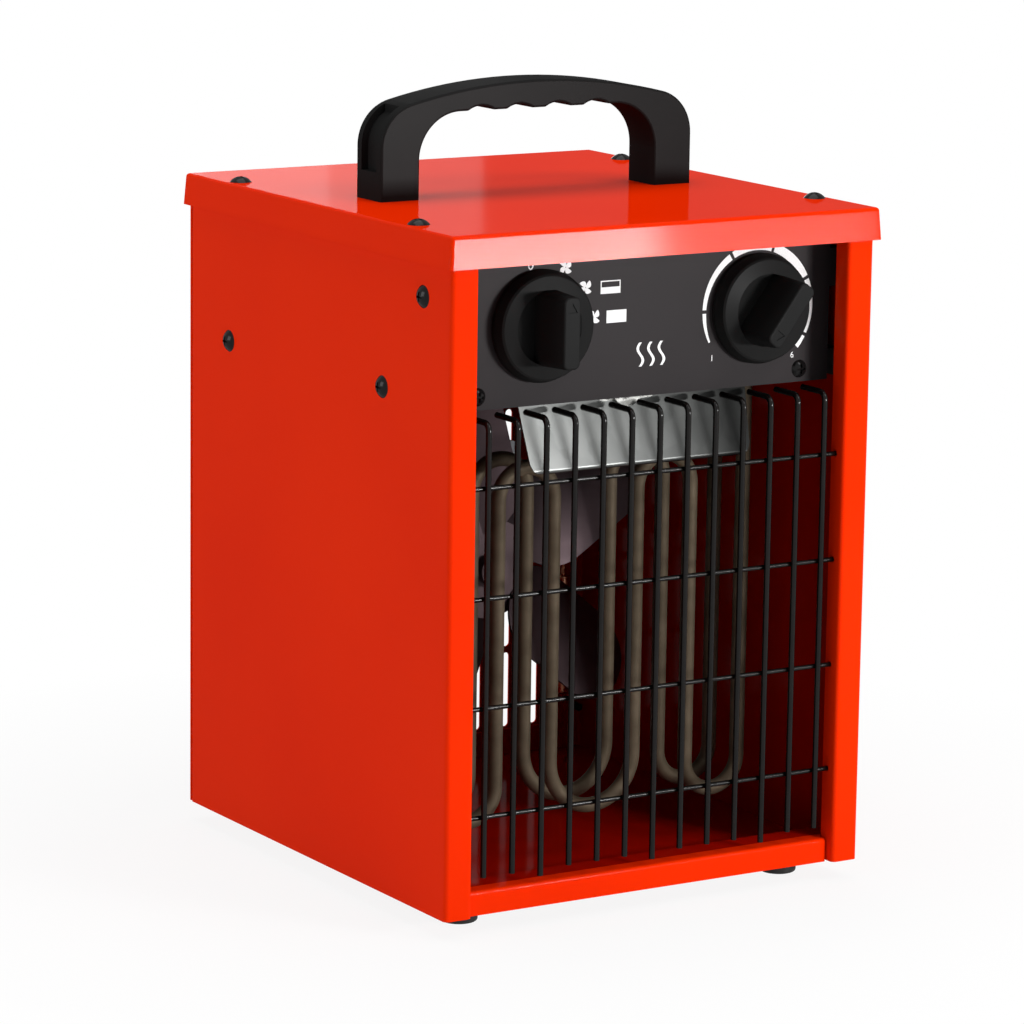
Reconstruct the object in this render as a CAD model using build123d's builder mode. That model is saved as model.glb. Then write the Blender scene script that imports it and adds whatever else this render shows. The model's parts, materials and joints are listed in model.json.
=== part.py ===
"""Box-type forced air heater, in millimetres.

+Z is up, the air outlet and the knobs face -Y, X runs left to right seen from
the front. The origin is on the floor, in the middle of the bounding box.
Most places are given as a depth behind the plane of the front columns.
"""

from build123d import *
import math
import os

os.makedirs("parts", exist_ok=True)

# --- Casing ---------------------------------------------------------------
body_width = 205.0  # across the outside of the side panels
body_depth = 223.5  # front columns to the outside of the rear panel
body_height = 280.0  # side panels, bottom edge to top flange
sheet = 1.0  # casing sheet
bend_radius = 1.5  # middle of the sheet in the casing's folds
column_width = 12.8  # front flange of a side panel
return_depth = 9.0  # return flange behind a column's inner edge
rear_flange = 10.0
top_flange = 14.0
bottom_flange = 32.0
seam_gap = 0.3  # between neighbouring sheets

lid_clearance = 0.5  # lid flange to casing
lid_flange = 13.5
lid_flare = 3.8  # degrees that the flange leans outward
lid_edge_radius = 1.6
lid_screw_inset = 5.6  # from a side panel's outside
lid_screw_span = 151.0  # front to rear

rail_depth = 4.5  # outlet rail behind the columns
rail_drop = 0.5  # below the side panels
ledge_rise = 9.7  # above the side panels' bottom edge
ledge_depth = 19.5
tray_bend = 1.0
tray_upstand = 12.0
rail_gap = 0.8  # rail to return flange

foot_height = 8.5
foot_radius = 8.0
foot_edge_radius = 1.2
foot_recess_radius = 4.6
foot_web = 3.0  # between the recess and the casing
foot_inset_x = 22.5
foot_inset_y = 27.0

# --- Inner sheet metal ------------------------------------------------------
inner_sheet = 0.8
inner_bend = 1.2
partition_drop = 60.5  # partition's top below the side panels' top
partition_flange = 12.0
partition_notch_x = 9.0
partition_notch_y = 2.0
panel_recess = 18.8  # control panel's face behind the columns
panel_gap = 7.8  # panel edge to the side panel
panel_height = 72.4
panel_tab_height = 16.0
panel_tab_depth = 12.0
panel_screw_inset = 14.5  # from the panel's edge
panel_screw_rise = 5.5  # above the panel's bottom edge

deflector_top_depth = 29.3
deflector_bottom_depth = 17.0
deflector_drop = 42.0  # bottom edge below the partition's top
deflector_gap = 44.4  # to the side panel, at the top
deflector_taper = 3.2
deflector_corner = 6.0
deflector_flange = 13.0
deflector_lip = 3.5
deflector_screw_inset = 16.8

cutout_x = -4.0
cutout_drop = 11.0  # below the partition's top
cutout_radius = 7.5
cutout_rise = 2.0
cutout_body_radius = 6.8
cutout_body_length = 9.0
cutout_clearance = 0.3
cutout_strap_length = 31.0
cutout_strap_width = 9.0
cutout_strap_sheet = 0.6
cutout_screw_x = 12.0

# --- Side screws ------------------------------------------------------------
tab_screw_depth = 22.5
tab_screw_drop = 26.1  # below the side panels' top
flange_screw_front = 54.8
flange_screw_back = 36.5  # from the rear panel's outside
flange_screw_drop = 7.0  # below the partition's top

# --- Grille ---------------------------------------------------------------
rod_count = 13
rod_margin = 7.5  # outer rods to the return flanges
rod_radius = 1.25
rod_depth = 4.0
rod_bend = 3.4
rod_drop = 2.8  # below the control panel
rod_back_end = 20.5
rod_short_rise = 5.8  # above the ledge
rod_long_rise = 3.0
long_rod_first = 2
long_rod_every = 4
wire_radius = 1.0
wire_count = 4
wire_rise = 30.5  # lowest wire above the ledge
wire_drop = 26.8  # highest wire below the rods' bends
wire_overlap = 0.2  # weld
wire_reach = 1.6  # past the return flange
wire_hole_clearance = 0.3

# --- Handle ---------------------------------------------------------------
handle_half_span = 77.0
handle_width = 20.8  # front to rear
handle_leg = 18.6
handle_height = 48.0
handle_crown_radius = 262.0
handle_outer_corner = 19.0
handle_inner_corner = 20.0
grip_underside = 36.2
notch_depth = 1.9
notch_count = 4
notch_pitch = 19.0
notch_radius = 11.0
notch_edge = 2.0
notch_tolerance = 0.3  # for finding the notches' tips
handle_edge = 1.0
pocket_depth = 3.0
pocket_wall = 4.2
pocket_bottom = 12.0
pocket_end = 66.0  # from the handle's middle
handle_screw_depth = 13.0

# --- Knobs ----------------------------------------------------------------
knob_inset = 39.9  # axes from the panel's edges
knob_shift = 3.7  # both axes to the right
knob_drop = 40.9  # axis below the side panels' top
knob_gap = 0.8  # knob to panel
knob_height = 24.3
skirt_radius = 23.2
skirt_straight = 1.8
skirt_upper_radius = 21.8
skirt_upper_height = 5.6
rim_radius = 21.0
rim_height = 6.3
dish_radius = 15.3
dish_rise = 0.8
scoop_drop = 5.8
grip_length = 29.5
grip_width = 7.8
grip_spread = 2.0  # wider at the root, all round
grip_corner = 2.6
grip_edge = 0.8
mark_depth = 0.4
mark_size = 2.6
mark_inset = 5.0
knob_hollow_inner = 9.6
knob_hollow_outer = 20.2
knob_hollow_depth = 1.7
shaft_radius = 3.0
shaft_flat = 2.2  # axis to the flat
shaft_clearance = 0.08
shaft_end_gap = 0.5
shaft_in_knob = 14.0
shaft_in_body = 12.0
panel_hole_clearance = 1.0
thermostat_rest_angle = 217.0  # clockwise from the top, the lowest setting

switch_radius = 17.0
switch_length = 25.0
control_plate = 2.0
control_plate_width = 20.0
control_plate_height = 37.0
control_plate_corner = 4.0
control_screw_rise = 14.0  # above and below the knob's axis
tab_width = 6.3
tab_sheet = 0.8
tab_length = 8.0
switch_tab_radius = 10.0
thermostat_width = 30.0
thermostat_height = 32.0
thermostat_length = 22.0
thermostat_edge = 1.5
thermostat_tab_x = 8.0
thermostat_tab_rise = 9.0
nipple_radius = 2.5
nipple_length = 4.0

# --- Heating elements -------------------------------------------------------
tube_radius = 3.2
element_front_depth = 52.5
element_rear_depth = 74.0
element_margin = 26.8  # outer legs to the side panels
element_pitch = 26.95  # between the legs
element_foot_rise = 19.5  # above the tray
element_arch_drop = 42.5  # below the partition
element_rise = 9.0  # above the partition
bead_radius = 2.6
bead_height = 3.5
pin_radius = 1.5
pin_length = 13.0
bushing_radius = 6.0
bushing_flange_radius = 8.0
bushing_flange_height = 2.5
bushing_below = 7.0
bushing_clearance = 0.1
bushing_nut_flats = 16.0
bushing_nut_height = 4.0
bushing_nut_clearance = 0.05

# --- Fan and motor -----------------------------------------------------------
fan_share = 0.505  # shaft's place up the air chamber
fan_stack_gap = 27.0  # fan to the motor's stack
fan_gap = 13.5  # blade tips to the side panels
blade_count = 5
blade_start_angle = 33.0  # first blade, from +X towards +Z
blade_pitch_angle = -25.0
blade_sheet = 1.0
blade_camber = 110.0  # radius of the blade's curve
blade_root = 16.0  # from the shaft
blade_width = 43.0
blade_corner = 20.0
hub_radius = 22.0
hub_sheet = 1.5
boss_radius = 7.0
boss_length = 12.0
motor_shaft_radius = 3.0
motor_shaft_grip = 0.02  # shaft to the pieces fixed on it
bearing_clearance = 0.05
mount_reach = 23.5  # strap in front of the rear panel
stack_length = 25.0
stack_half_width = 31.0
stack_low = 20.0  # below the shaft
stack_high = 50.0  # above the shaft
stack_corner = 3.0
limb_height = 12.0
window_half_width = 19.0
window_low = 19.5  # above the shaft
rotor_radius = 13.0
rotor_ring_radius = 11.0
rotor_ring = 2.0
air_gap = 0.5
coil_half_width = 15.0
coil_overhang = 7.0
coil_rise = 10.0  # above and below the limb
coil_clearance = 0.3
coil_edge = 3.0
bridge_standoff = 6.0
bridge_standoff_radius = 5.0
bridge_sheet = 3.0
bridge_height = 14.0
bridge_boss_radius = 5.0
bridge_boss_rise = 3.0
motor_screw_x = 25.0
motor_screw_end = 2.0  # past the nut
motor_nut_flats = 7.0
motor_nut_height = 3.0
mount_sheet = 1.2
mount_bend = 2.0
mount_height = 14.0
mount_gap = 19.5  # arms to the side panels
mount_foot = 9.5
mount_hole_clearance = 0.6

# --- Rear panel ---------------------------------------------------------------
slot_columns = 11
slot_margin = 26.0  # outer columns to the side panels' outside
slot_width = 3.8
slot_rows = 5
slot_height = 35.1
slot_bridge = 2.9
slot_bottom = 15.0  # above the side panels' bottom edge
rear_screw_bottom = 21.5  # above the side panels' bottom edge
rear_screw_drop = 18.5  # below the side panels' top
rear_screw_count = 3
centre_screw_x = 40.0

# --- Cable inlet and wiring -----------------------------------------------------
gland_inset = 41.5  # from the side panel
gland_drop = 32.5  # below the side panels' top
gland_thread_radius = 8.0
gland_hole_clearance = 0.3
gland_nut_clearance = 0.05
gland_flange_height = 5.0
gland_flats = 22.0
gland_spigot_radius = 6.8
gland_spigot_gap = 0.5  # to the cap's lip
gland_cap_height = 13.0
gland_cap_radius = 9.6
gland_cap_lip = 3.0
gland_cap_edge = 2.5
gland_cap_clearance = 0.2
gland_bore = 4.75
gland_inside = 10.0
gland_nut_flats = 20.0
gland_nut_height = 4.0
block_width = 38.0
block_length = 17.0
block_height = 12.0
block_back = 32.5  # in front of the rear panel
block_ways = 3
block_pitch = 12.0
block_bore = 2.2
block_screw_radius = 1.6
block_screw_length = 4.0
block_screw_slot = 0.6
block_screw_y = 4.5
lead_radius = 1.2
lead_entry = 3.0  # into the terminal block
lead_hole = 2.5
lead_hole_back = 14.5  # in front of the rear panel
lead_bend = 5.0
coil_lead_spread = 4.0  # above and below the limb's middle
coil_lead_straight = 13.0
coil_lead_rise = 30.0
lead_middle = 0.46  # share of the way to the terminal block
lead_lift = 9.0  # above the partition
lead_sway = 2.0
pin_lead_sways = (4.0, 8.0, 5.0, 14.0)  # inward from the pins
pin_lead_backs = (-8.0, 8.0, 6.0, 0.0)
pin_lead_lifts = (12.0, 20.0, 18.0, 18.0)

# --- Thermostat bulb ------------------------------------------------------------
bulb_inset = 15.0  # from the side panel
bulb_back = 8.5  # in front of the rear panel
bulb_radius = 3.0
bulb_length = 56.0
bulb_bottom = 30.0  # above the side panels' bottom edge
bulb_end_radius = 1.0
clip_sheet = 0.8
clip_height = 6.0
clip_foot = 9.0
clip_inset = 12.0
clip_clearance = 0.05
capillary_radius = 0.8
capillary_hole = 2.0
capillary_hole_back = 14.5  # in front of the rear panel
capillary_slack = 2.0  # bulb to the straight run
capillary_run = 50.0  # straight run above the bulb
capillary_below = 25.0  # straight before the partition
capillary_turns = ((6.0, 20.0, 17.0), (16.0, 78.0, 20.0))  # inward, forward, up from its hole
capillary_sway = 3.0  # outward behind the thermostat
capillary_tail = 35.0

# --- Screws ---------------------------------------------------------------
screw_shank = 1.75
screw_hole_clearance = 0.25
screw_length = 8.0
short_screw_length = 5.0
screw_head = 4.7
screw_dome = 2.4
small_head = 3.8
small_dome = 2.0
cross_length = 4.2
cross_width = 0.9
cross_depth = 1.2

# --- Worked-out places ----------------------------------------------------------
screw_hole = screw_shank + screw_hole_clearance
side_x = body_width / 2
return_x = side_x - column_width
inner_half = side_x - sheet
flange_x = side_x - rear_flange
body_bottom = foot_height
body_top = body_bottom + body_height
floor_top = body_bottom + 2 * sheet
ledge_top = body_bottom + ledge_rise
lid_top = body_top + sheet
lid_overhang = lid_clearance + sheet
lid_width = body_width + 2 * lid_overhang
lid_depth = body_depth + 2 * lid_overhang
flare_reach = lid_flange * math.tan(math.radians(lid_flare))
knob_reach = knob_gap + knob_height - panel_recess
gland_reach = gland_flange_height + gland_cap_height
front_reach = max(knob_reach, lid_overhang + flare_reach)
rear_reach = max(gland_reach, lid_overhang + flare_reach)
front_y = (front_reach - body_depth - rear_reach) / 2
rear_inside = body_depth - sheet
flange_front = rear_inside - sheet
inner_edge = inner_half - seam_gap
panel_half_width = inner_edge - panel_gap
panel_screw_x = panel_half_width - panel_screw_inset
selector_x = knob_shift - (panel_half_width - knob_inset)
thermostat_x = knob_shift + (panel_half_width - knob_inset)
deflector_top_half = inner_edge - deflector_gap
deflector_bottom_half = deflector_top_half - deflector_taper
deflector_screw_x = deflector_top_half - deflector_screw_inset
partition_top = body_top - partition_drop
partition_under = partition_top - inner_sheet
panel_rear = panel_recess + sheet
panel_top = body_top - sheet - seam_gap
panel_bottom = panel_top - panel_height
knob_z = body_top - knob_drop
fan_z = floor_top + (partition_under - floor_top) * fan_share
fan_radius = inner_half - fan_gap
blade_length = fan_radius - blade_root
mount_depth = rear_inside - mount_reach
stack_rear = mount_depth - bridge_standoff - bridge_sheet
stack_depth = stack_rear - stack_length
fan_depth = stack_depth - fan_stack_gap
mount_arm = inner_half - mount_gap
gland_x = gland_inset - inner_half
gland_z = body_top - gland_drop
block_depth = rear_inside - block_back
lead_hole_depth = rear_inside - lead_hole_back
bulb_x = inner_half - bulb_inset
bulb_depth = rear_inside - bulb_back
capillary_hole_depth = rear_inside - capillary_hole_back
tab_screw_z = body_top - tab_screw_drop
flange_screw_z = partition_top - flange_screw_drop
panel_screw_z = panel_bottom + panel_screw_rise
tray_screw_z = floor_top + tray_upstand / 2
rear_screw_x = side_x - rear_flange / 2
mount_screw_x = mount_arm + mount_foot / 2
handle_screw_x = handle_half_span - handle_leg / 2
deflector_screw_depth = deflector_top_depth + deflector_flange / 2
wire_depth = rod_depth + rod_radius + wire_radius - wire_overlap
rod_pitch = 2 * (return_x - rod_margin) / (rod_count - 1)
rod_top = panel_bottom - rod_drop
wire_bottom = ledge_top + wire_rise
wire_pitch = (rod_top - wire_drop - wire_bottom) / (wire_count - 1)
wire_heights = [wire_bottom + place * wire_pitch for place in range(wire_count)]
slot_pitch = 2 * (side_x - slot_margin) / (slot_columns - 1)
element_leg_outer = inner_half - element_margin
element_bottom = floor_top + element_foot_rise
element_arch_top = partition_top - element_arch_drop
rear_screw_low = body_bottom + rear_screw_bottom
rear_screw_pitch = (body_height - rear_screw_bottom - rear_screw_drop) / (rear_screw_count - 1)
rear_screw_heights = [rear_screw_low + place * rear_screw_pitch for place in range(rear_screw_count)]
block_way_places = [(place - (block_ways - 1) / 2) * block_pitch for place in range(block_ways)]
coil_ways = (block_way_places[0], block_way_places[-1])
both_sides = (-1, 1)


def at(depth):
    """Y of a place behind the front columns."""
    return front_y + depth


def front_plane(x, depth, z):
    """Plane facing the viewer, its x to the right and its y up."""
    return Plane(origin=(x, at(depth), z), x_dir=(1, 0, 0), z_dir=(0, -1, 0))


def rear_plane(x, depth, z):
    """Plane facing the rear, its x to the left and its y up."""
    return Plane(origin=(x, at(depth), z), x_dir=(-1, 0, 0), z_dir=(0, 1, 0))


def side_plane(side, depth, z):
    """Plane on a side panel's outside, facing away from the heater."""
    return Plane(origin=(side * side_x, at(depth), z), x_dir=(0, side, 0), z_dir=(side, 0, 0))


def up_plane(x, depth, z):
    """Plane facing up."""
    return Plane(origin=(x, at(depth), z), x_dir=(1, 0, 0), z_dir=(0, 0, 1))


def down_plane(x, depth, z):
    """Plane facing the floor."""
    return Plane(origin=(x, at(depth), z), x_dir=(1, 0, 0), z_dir=(0, 0, -1))


# --- Where the screws go ----------------------------------------------------------
lid_screw_planes = [
    up_plane(side * (side_x - lid_screw_inset), body_depth / 2 + end * lid_screw_span / 2, lid_top)
    for side in both_sides
    for end in (-1, 1)
]
foot_planes = [
    down_plane(side * (side_x - foot_inset_x), depth, body_bottom)
    for side in both_sides
    for depth in (foot_inset_y, body_depth - foot_inset_y)
]
side_screw_places = [
    (tab_screw_depth, tab_screw_z),
    (flange_screw_front, flange_screw_z),
    (body_depth - flange_screw_back, flange_screw_z),
]
side_screw_planes = [side_plane(side, depth, z) for side in both_sides for depth, z in side_screw_places]
flange_screw_planes = [plane for plane in side_screw_planes if plane.origin.Z < tab_screw_z]
rear_screw_places = [(side * rear_screw_x, z) for side in both_sides for z in rear_screw_heights]
centre_screw_heights = (tray_screw_z, flange_screw_z)
rear_screw_places += [(side * centre_screw_x, z) for side in both_sides for z in centre_screw_heights]
mount_screw_places = [(side * mount_screw_x, fan_z) for side in both_sides]
handle_planes = [down_plane(side * handle_screw_x, body_depth / 2, body_top) for side in both_sides]
deflector_screw_planes = [
    up_plane(side * deflector_screw_x, deflector_screw_depth, partition_top) for side in both_sides
]
element_end_planes = [
    up_plane(side * element_leg_outer, depth, partition_top)
    for side in both_sides
    for depth in (element_front_depth, element_rear_depth)
]


def domed_screw(head, dome, length):
    """Domed cross-head screw, its head resting on the plane z = 0."""
    ball = (head**2 + dome**2) / (2 * dome)
    with BuildPart() as screw:
        Cylinder(screw_shank, length, align=(Align.CENTER, Align.CENTER, Align.MAX))
        with BuildSketch(Plane.XZ):
            with BuildLine():
                Line((0, 0), (head, 0))
                RadiusArc((head, 0), (0, dome), -ball)
                Line((0, dome), (0, 0))
            make_face()
        revolve(axis=Axis.Z)
        with BuildSketch(Plane.XY.offset(dome)):
            Rectangle(cross_length, cross_width)
            Rectangle(cross_width, cross_length)
        extrude(amount=-cross_depth, mode=Mode.SUBTRACT)
    return screw.part


def hexagon_nut(flats, height, bore):
    """Hexagon nut standing on the plane z = 0."""
    with BuildPart() as nut:
        with BuildSketch():
            RegularPolygon(flats / 2, 6, major_radius=False)
            Circle(bore, mode=Mode.SUBTRACT)
        extrude(amount=height)
    return nut.part


def bent_line(points, bend, radius):
    """Round bar along straight runs joined by bends."""
    with BuildPart() as bar:
        with BuildLine() as run:
            FilletPolyline(*points, radius=bend)
        with BuildSketch(Plane(points[0], z_dir=run.line % 0)):
            Circle(radius)
        sweep(path=run.line)
    return bar.part


def soft_line(points, start_way, end_way, radius):
    """Round bar along a free curve that leaves and arrives in set directions."""
    with BuildPart() as bar:
        with BuildLine() as run:
            Spline(*points, tangents=(start_way, end_way))
        with BuildSketch(Plane(points[0], z_dir=start_way)):
            Circle(radius)
        sweep(path=run.line)
    return bar.part


# --- Side panels -----------------------------------------------------------
with BuildPart() as side_panel_right:
    with BuildSketch(Plane.XY.offset(body_bottom)):
        with BuildLine():
            FilletPolyline(
                (return_x + sheet / 2, at(return_depth)),
                (return_x + sheet / 2, at(sheet / 2)),
                (side_x - sheet / 2, at(sheet / 2)),
                (side_x - sheet / 2, at(flange_front + sheet / 2)),
                (flange_x, at(flange_front + sheet / 2)),
                radius=bend_radius,
            )
        trace(line_width=sheet)
    extrude(amount=body_height)
    for low, width in ((body_bottom, bottom_flange), (body_top - sheet, top_flange)):
        with BuildSketch(Plane.XY.offset(low)):
            with Locations((side_x - sheet / 2, at(return_depth + seam_gap))):
                Rectangle(
                    width - sheet / 2,
                    flange_front - return_depth - seam_gap,
                    align=(Align.MAX, Align.MIN),
                )
        extrude(amount=sheet)
    with BuildSketch(Plane.YZ.offset(return_x - sheet)):
        with Locations(*[(at(wire_depth), z) for z in wire_heights]):
            Circle(wire_radius + wire_hole_clearance)
    extrude(amount=3 * sheet, mode=Mode.SUBTRACT)
    with BuildSketch(Plane.YZ.offset(side_x + sheet)):
        with Locations(*[(at(depth), z) for depth, z in side_screw_places]):
            Circle(screw_hole)
    extrude(amount=-3 * sheet, mode=Mode.SUBTRACT)
    with BuildSketch(rear_plane(0, body_depth, 0)):
        with Locations(*[(-rear_screw_x, z) for z in rear_screw_heights]):
            Circle(screw_shank)
    extrude(amount=-3 * sheet, mode=Mode.SUBTRACT)
    with BuildSketch(*[plane for plane in lid_screw_planes if plane.origin.X > 0]):
        Circle(screw_shank)
    extrude(amount=-3 * sheet, mode=Mode.SUBTRACT)
    with BuildSketch(*[plane for plane in foot_planes if plane.origin.X > 0]):
        Circle(screw_hole)
    extrude(amount=-2 * sheet, mode=Mode.SUBTRACT)
side_panel_right.part.label = "side_panel_right"
export_step(side_panel_right.part, "parts/side_panel_right.step")

with BuildPart() as side_panel_left:
    mirror(side_panel_right.part, about=Plane.YZ)
side_panel_left.part.label = "side_panel_left"
export_step(side_panel_left.part, "parts/side_panel_left.step")

with BuildPart() as side_screws:
    with Locations(*side_screw_planes):
        add(domed_screw(screw_head, screw_dome, screw_length))
side_screws.part.label = "side_screws"
export_step(side_screws.part, "parts/side_screws.step")

# --- Bottom tray with the outlet rail ------------------------------------------
tray_rear = rear_inside - seam_gap
rail_bottom = body_bottom - rail_drop
ledge_rear = rail_depth + ledge_depth
with BuildPart() as bottom_tray:
    with BuildSketch(Plane.YZ.offset(-inner_edge)):
        with BuildLine():
            FilletPolyline(
                (at(rail_depth + sheet / 2), rail_bottom),
                (at(rail_depth + sheet / 2), ledge_top - sheet / 2),
                (at(ledge_rear - sheet / 2), ledge_top - sheet / 2),
                (at(ledge_rear - sheet / 2), floor_top - sheet / 2),
                (at(tray_rear - sheet / 2), floor_top - sheet / 2),
                (at(tray_rear - sheet / 2), floor_top + tray_upstand),
                radius=tray_bend,
            )
        trace(line_width=sheet)
    extrude(amount=2 * inner_edge)
    with BuildSketch(Plane.XY.offset(rail_bottom - sheet)):
        for side in both_sides:
            with Locations((side * (return_x - rail_gap + column_width), at(0))):
                Rectangle(2 * column_width, 2 * (return_depth + 2 * seam_gap))
            with Locations((side * (flange_x - seam_gap + rear_flange), at(body_depth))):
                Rectangle(2 * rear_flange, 4 * (sheet + seam_gap))
    extrude(amount=ledge_top + tray_upstand, mode=Mode.SUBTRACT)
    with BuildSketch(*foot_planes):
        Circle(screw_shank)
    extrude(amount=-3 * sheet, mode=Mode.SUBTRACT)
    with BuildSketch(rear_plane(0, body_depth, 0)):
        with Locations((-centre_screw_x, tray_screw_z), (centre_screw_x, tray_screw_z)):
            Circle(screw_shank)
    extrude(amount=-4 * sheet, mode=Mode.SUBTRACT)
bottom_tray.part.label = "bottom_tray"
export_step(bottom_tray.part, "parts/bottom_tray.step")

# --- Feet ---------------------------------------------------------------
with BuildPart() as foot_form:
    Cylinder(foot_radius, foot_height, align=(Align.CENTER, Align.CENTER, Align.MIN))
    fillet(foot_form.faces().sort_by(Axis.Z)[-1].edges(), radius=foot_edge_radius)
    with BuildSketch(Plane.XY.offset(foot_web)):
        Circle(foot_recess_radius)
    extrude(amount=foot_height, mode=Mode.SUBTRACT)
    with BuildSketch():
        Circle(screw_hole)
    extrude(amount=foot_height, mode=Mode.SUBTRACT)

with BuildPart() as feet:
    with Locations(*foot_planes):
        add(foot_form.part)
feet.part.label = "feet"
export_step(feet.part, "parts/feet.step")

with BuildPart() as foot_screws:
    with Locations(*[plane.offset(foot_web) for plane in foot_planes]):
        add(domed_screw(small_head, small_dome, screw_length - sheet))
foot_screws.part.label = "foot_screws"
export_step(foot_screws.part, "parts/foot_screws.step")

# --- Rear panel -----------------------------------------------------------------
slot_field = slot_rows * (slot_height + slot_bridge) - slot_bridge
with BuildPart() as rear_panel:
    with BuildSketch(rear_plane(0, body_depth, 0)):
        with Locations((0, body_bottom + body_height / 2)):
            Rectangle(body_width - 2 * seam_gap, body_height - seam_gap)
        with Locations((0, body_bottom + slot_bottom + slot_field / 2)):
            with GridLocations(slot_pitch, slot_height + slot_bridge, slot_columns, slot_rows):
                SlotOverall(slot_height, slot_width, rotation=90, mode=Mode.SUBTRACT)
        with Locations(*[(-x, z) for x, z in rear_screw_places + mount_screw_places]):
            Circle(screw_hole, mode=Mode.SUBTRACT)
        with Locations((-gland_x, gland_z)):
            Circle(gland_thread_radius + gland_hole_clearance, mode=Mode.SUBTRACT)
    extrude(amount=-sheet)
rear_panel.part.label = "rear_panel"
export_step(rear_panel.part, "parts/rear_panel.step")

with BuildPart() as rear_screws:
    with Locations(*[rear_plane(x, body_depth, z) for x, z in rear_screw_places]):
        add(domed_screw(screw_head, screw_dome, screw_length))
rear_screws.part.label = "rear_screws"
export_step(rear_screws.part, "parts/rear_screws.step")

# --- Lid ---------------------------------------------------------------
with BuildPart() as lid:
    with BuildSketch(up_plane(0, body_depth / 2, lid_top)):
        Rectangle(lid_width, lid_depth)
    extrude(amount=-lid_flange, taper=-lid_flare)
    fillet(lid.edges() - lid.faces().sort_by(Axis.Z)[0].edges(), radius=lid_edge_radius)
    with BuildSketch(up_plane(0, body_depth / 2, lid_top - sheet)):
        RectangleRounded(lid_width - 2 * sheet, lid_depth - 2 * sheet, lid_edge_radius - sheet)
    extrude(amount=-lid_flange, taper=-lid_flare, mode=Mode.SUBTRACT)
    with BuildSketch(*lid_screw_planes):
        Circle(screw_hole)
    extrude(amount=-2 * sheet, mode=Mode.SUBTRACT)
    with BuildSketch(*handle_planes):
        Circle(screw_hole)
    extrude(amount=-2 * sheet, mode=Mode.SUBTRACT)
lid.part.label = "lid"
export_step(lid.part, "parts/lid.step")

with BuildPart() as lid_screws:
    with Locations(*lid_screw_planes):
        add(domed_screw(screw_head, screw_dome, screw_length))
lid_screws.part.label = "lid_screws"
export_step(lid_screws.part, "parts/lid_screws.step")

# --- Handle ---------------------------------------------------------------
handle_face = front_plane(0, (body_depth - handle_width) / 2, lid_top)
crown_drop = handle_crown_radius - math.sqrt(handle_crown_radius**2 - handle_half_span**2)
shoulder = handle_height - crown_drop
leg_inside = handle_half_span - handle_leg
notch_half = math.sqrt(notch_radius**2 - (notch_radius - notch_depth) ** 2)
notch_start = (notch_count - 1) / 2 * notch_pitch
notch_end = notch_start + notch_half
with BuildSketch() as handle_arch:
    with BuildLine():
        Line((-handle_half_span, 0), (-handle_half_span, shoulder))
        ThreePointArc((-handle_half_span, shoulder), (0, handle_height), (handle_half_span, shoulder))
        Line((handle_half_span, shoulder), (handle_half_span, 0))
        Line((handle_half_span, 0), (-handle_half_span, 0))
    make_face()
    fillet(handle_arch.vertices().group_by(Axis.Y)[-1], radius=handle_outer_corner)

with BuildPart() as handle:
    with BuildSketch(handle_face) as handle_outline:
        add(handle_arch.sketch)
        with BuildLine():
            FilletPolyline(
                (-leg_inside, 0),
                (-leg_inside, grip_underside),
                (leg_inside, grip_underside),
                (leg_inside, 0),
                radius=handle_inner_corner,
            )
            Line((leg_inside, 0), (-leg_inside, 0))
        make_face(mode=Mode.SUBTRACT)
        for place in range(notch_count):
            notch_x = place * notch_pitch - notch_start
            with Locations((notch_x, grip_underside + notch_depth - notch_radius)):
                Circle(notch_radius, mode=Mode.SUBTRACT)
        notch_tips = [
            tip
            for tip in handle_outline.vertices()
            if abs(tip.Y - grip_underside) < notch_tolerance and abs(tip.X) < notch_end + notch_tolerance
        ]
        fillet(notch_tips, radius=notch_edge)
    extrude(amount=-handle_width)
    face_edges = handle.faces().filter_by(Axis.Y).edges()
    base_edges = handle.faces().sort_by(Axis.Z)[:2].edges()
    fillet(face_edges - base_edges, radius=handle_edge)
    with BuildSketch(handle_face.offset(-pocket_wall)):
        add(handle_arch.sketch)
        offset(handle_arch.sketch, amount=-pocket_depth, mode=Mode.SUBTRACT)
        Rectangle(2 * pocket_end, 4 * handle_height, mode=Mode.SUBTRACT)
        Rectangle(4 * handle_half_span, 2 * pocket_bottom, mode=Mode.SUBTRACT)
    extrude(amount=-(handle_width - 2 * pocket_wall), mode=Mode.SUBTRACT)
    with BuildSketch(*[plane.offset(-sheet) for plane in handle_planes]):
        Circle(screw_shank)
    extrude(amount=-handle_screw_depth, mode=Mode.SUBTRACT)
handle.part.label = "handle"
export_step(handle.part, "parts/handle.step")

with BuildPart() as handle_screws:
    with Locations(*handle_planes):
        add(domed_screw(small_head, small_dome, handle_screw_depth))
handle_screws.part.label = "handle_screws"
export_step(handle_screws.part, "parts/handle_screws.step")

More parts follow.
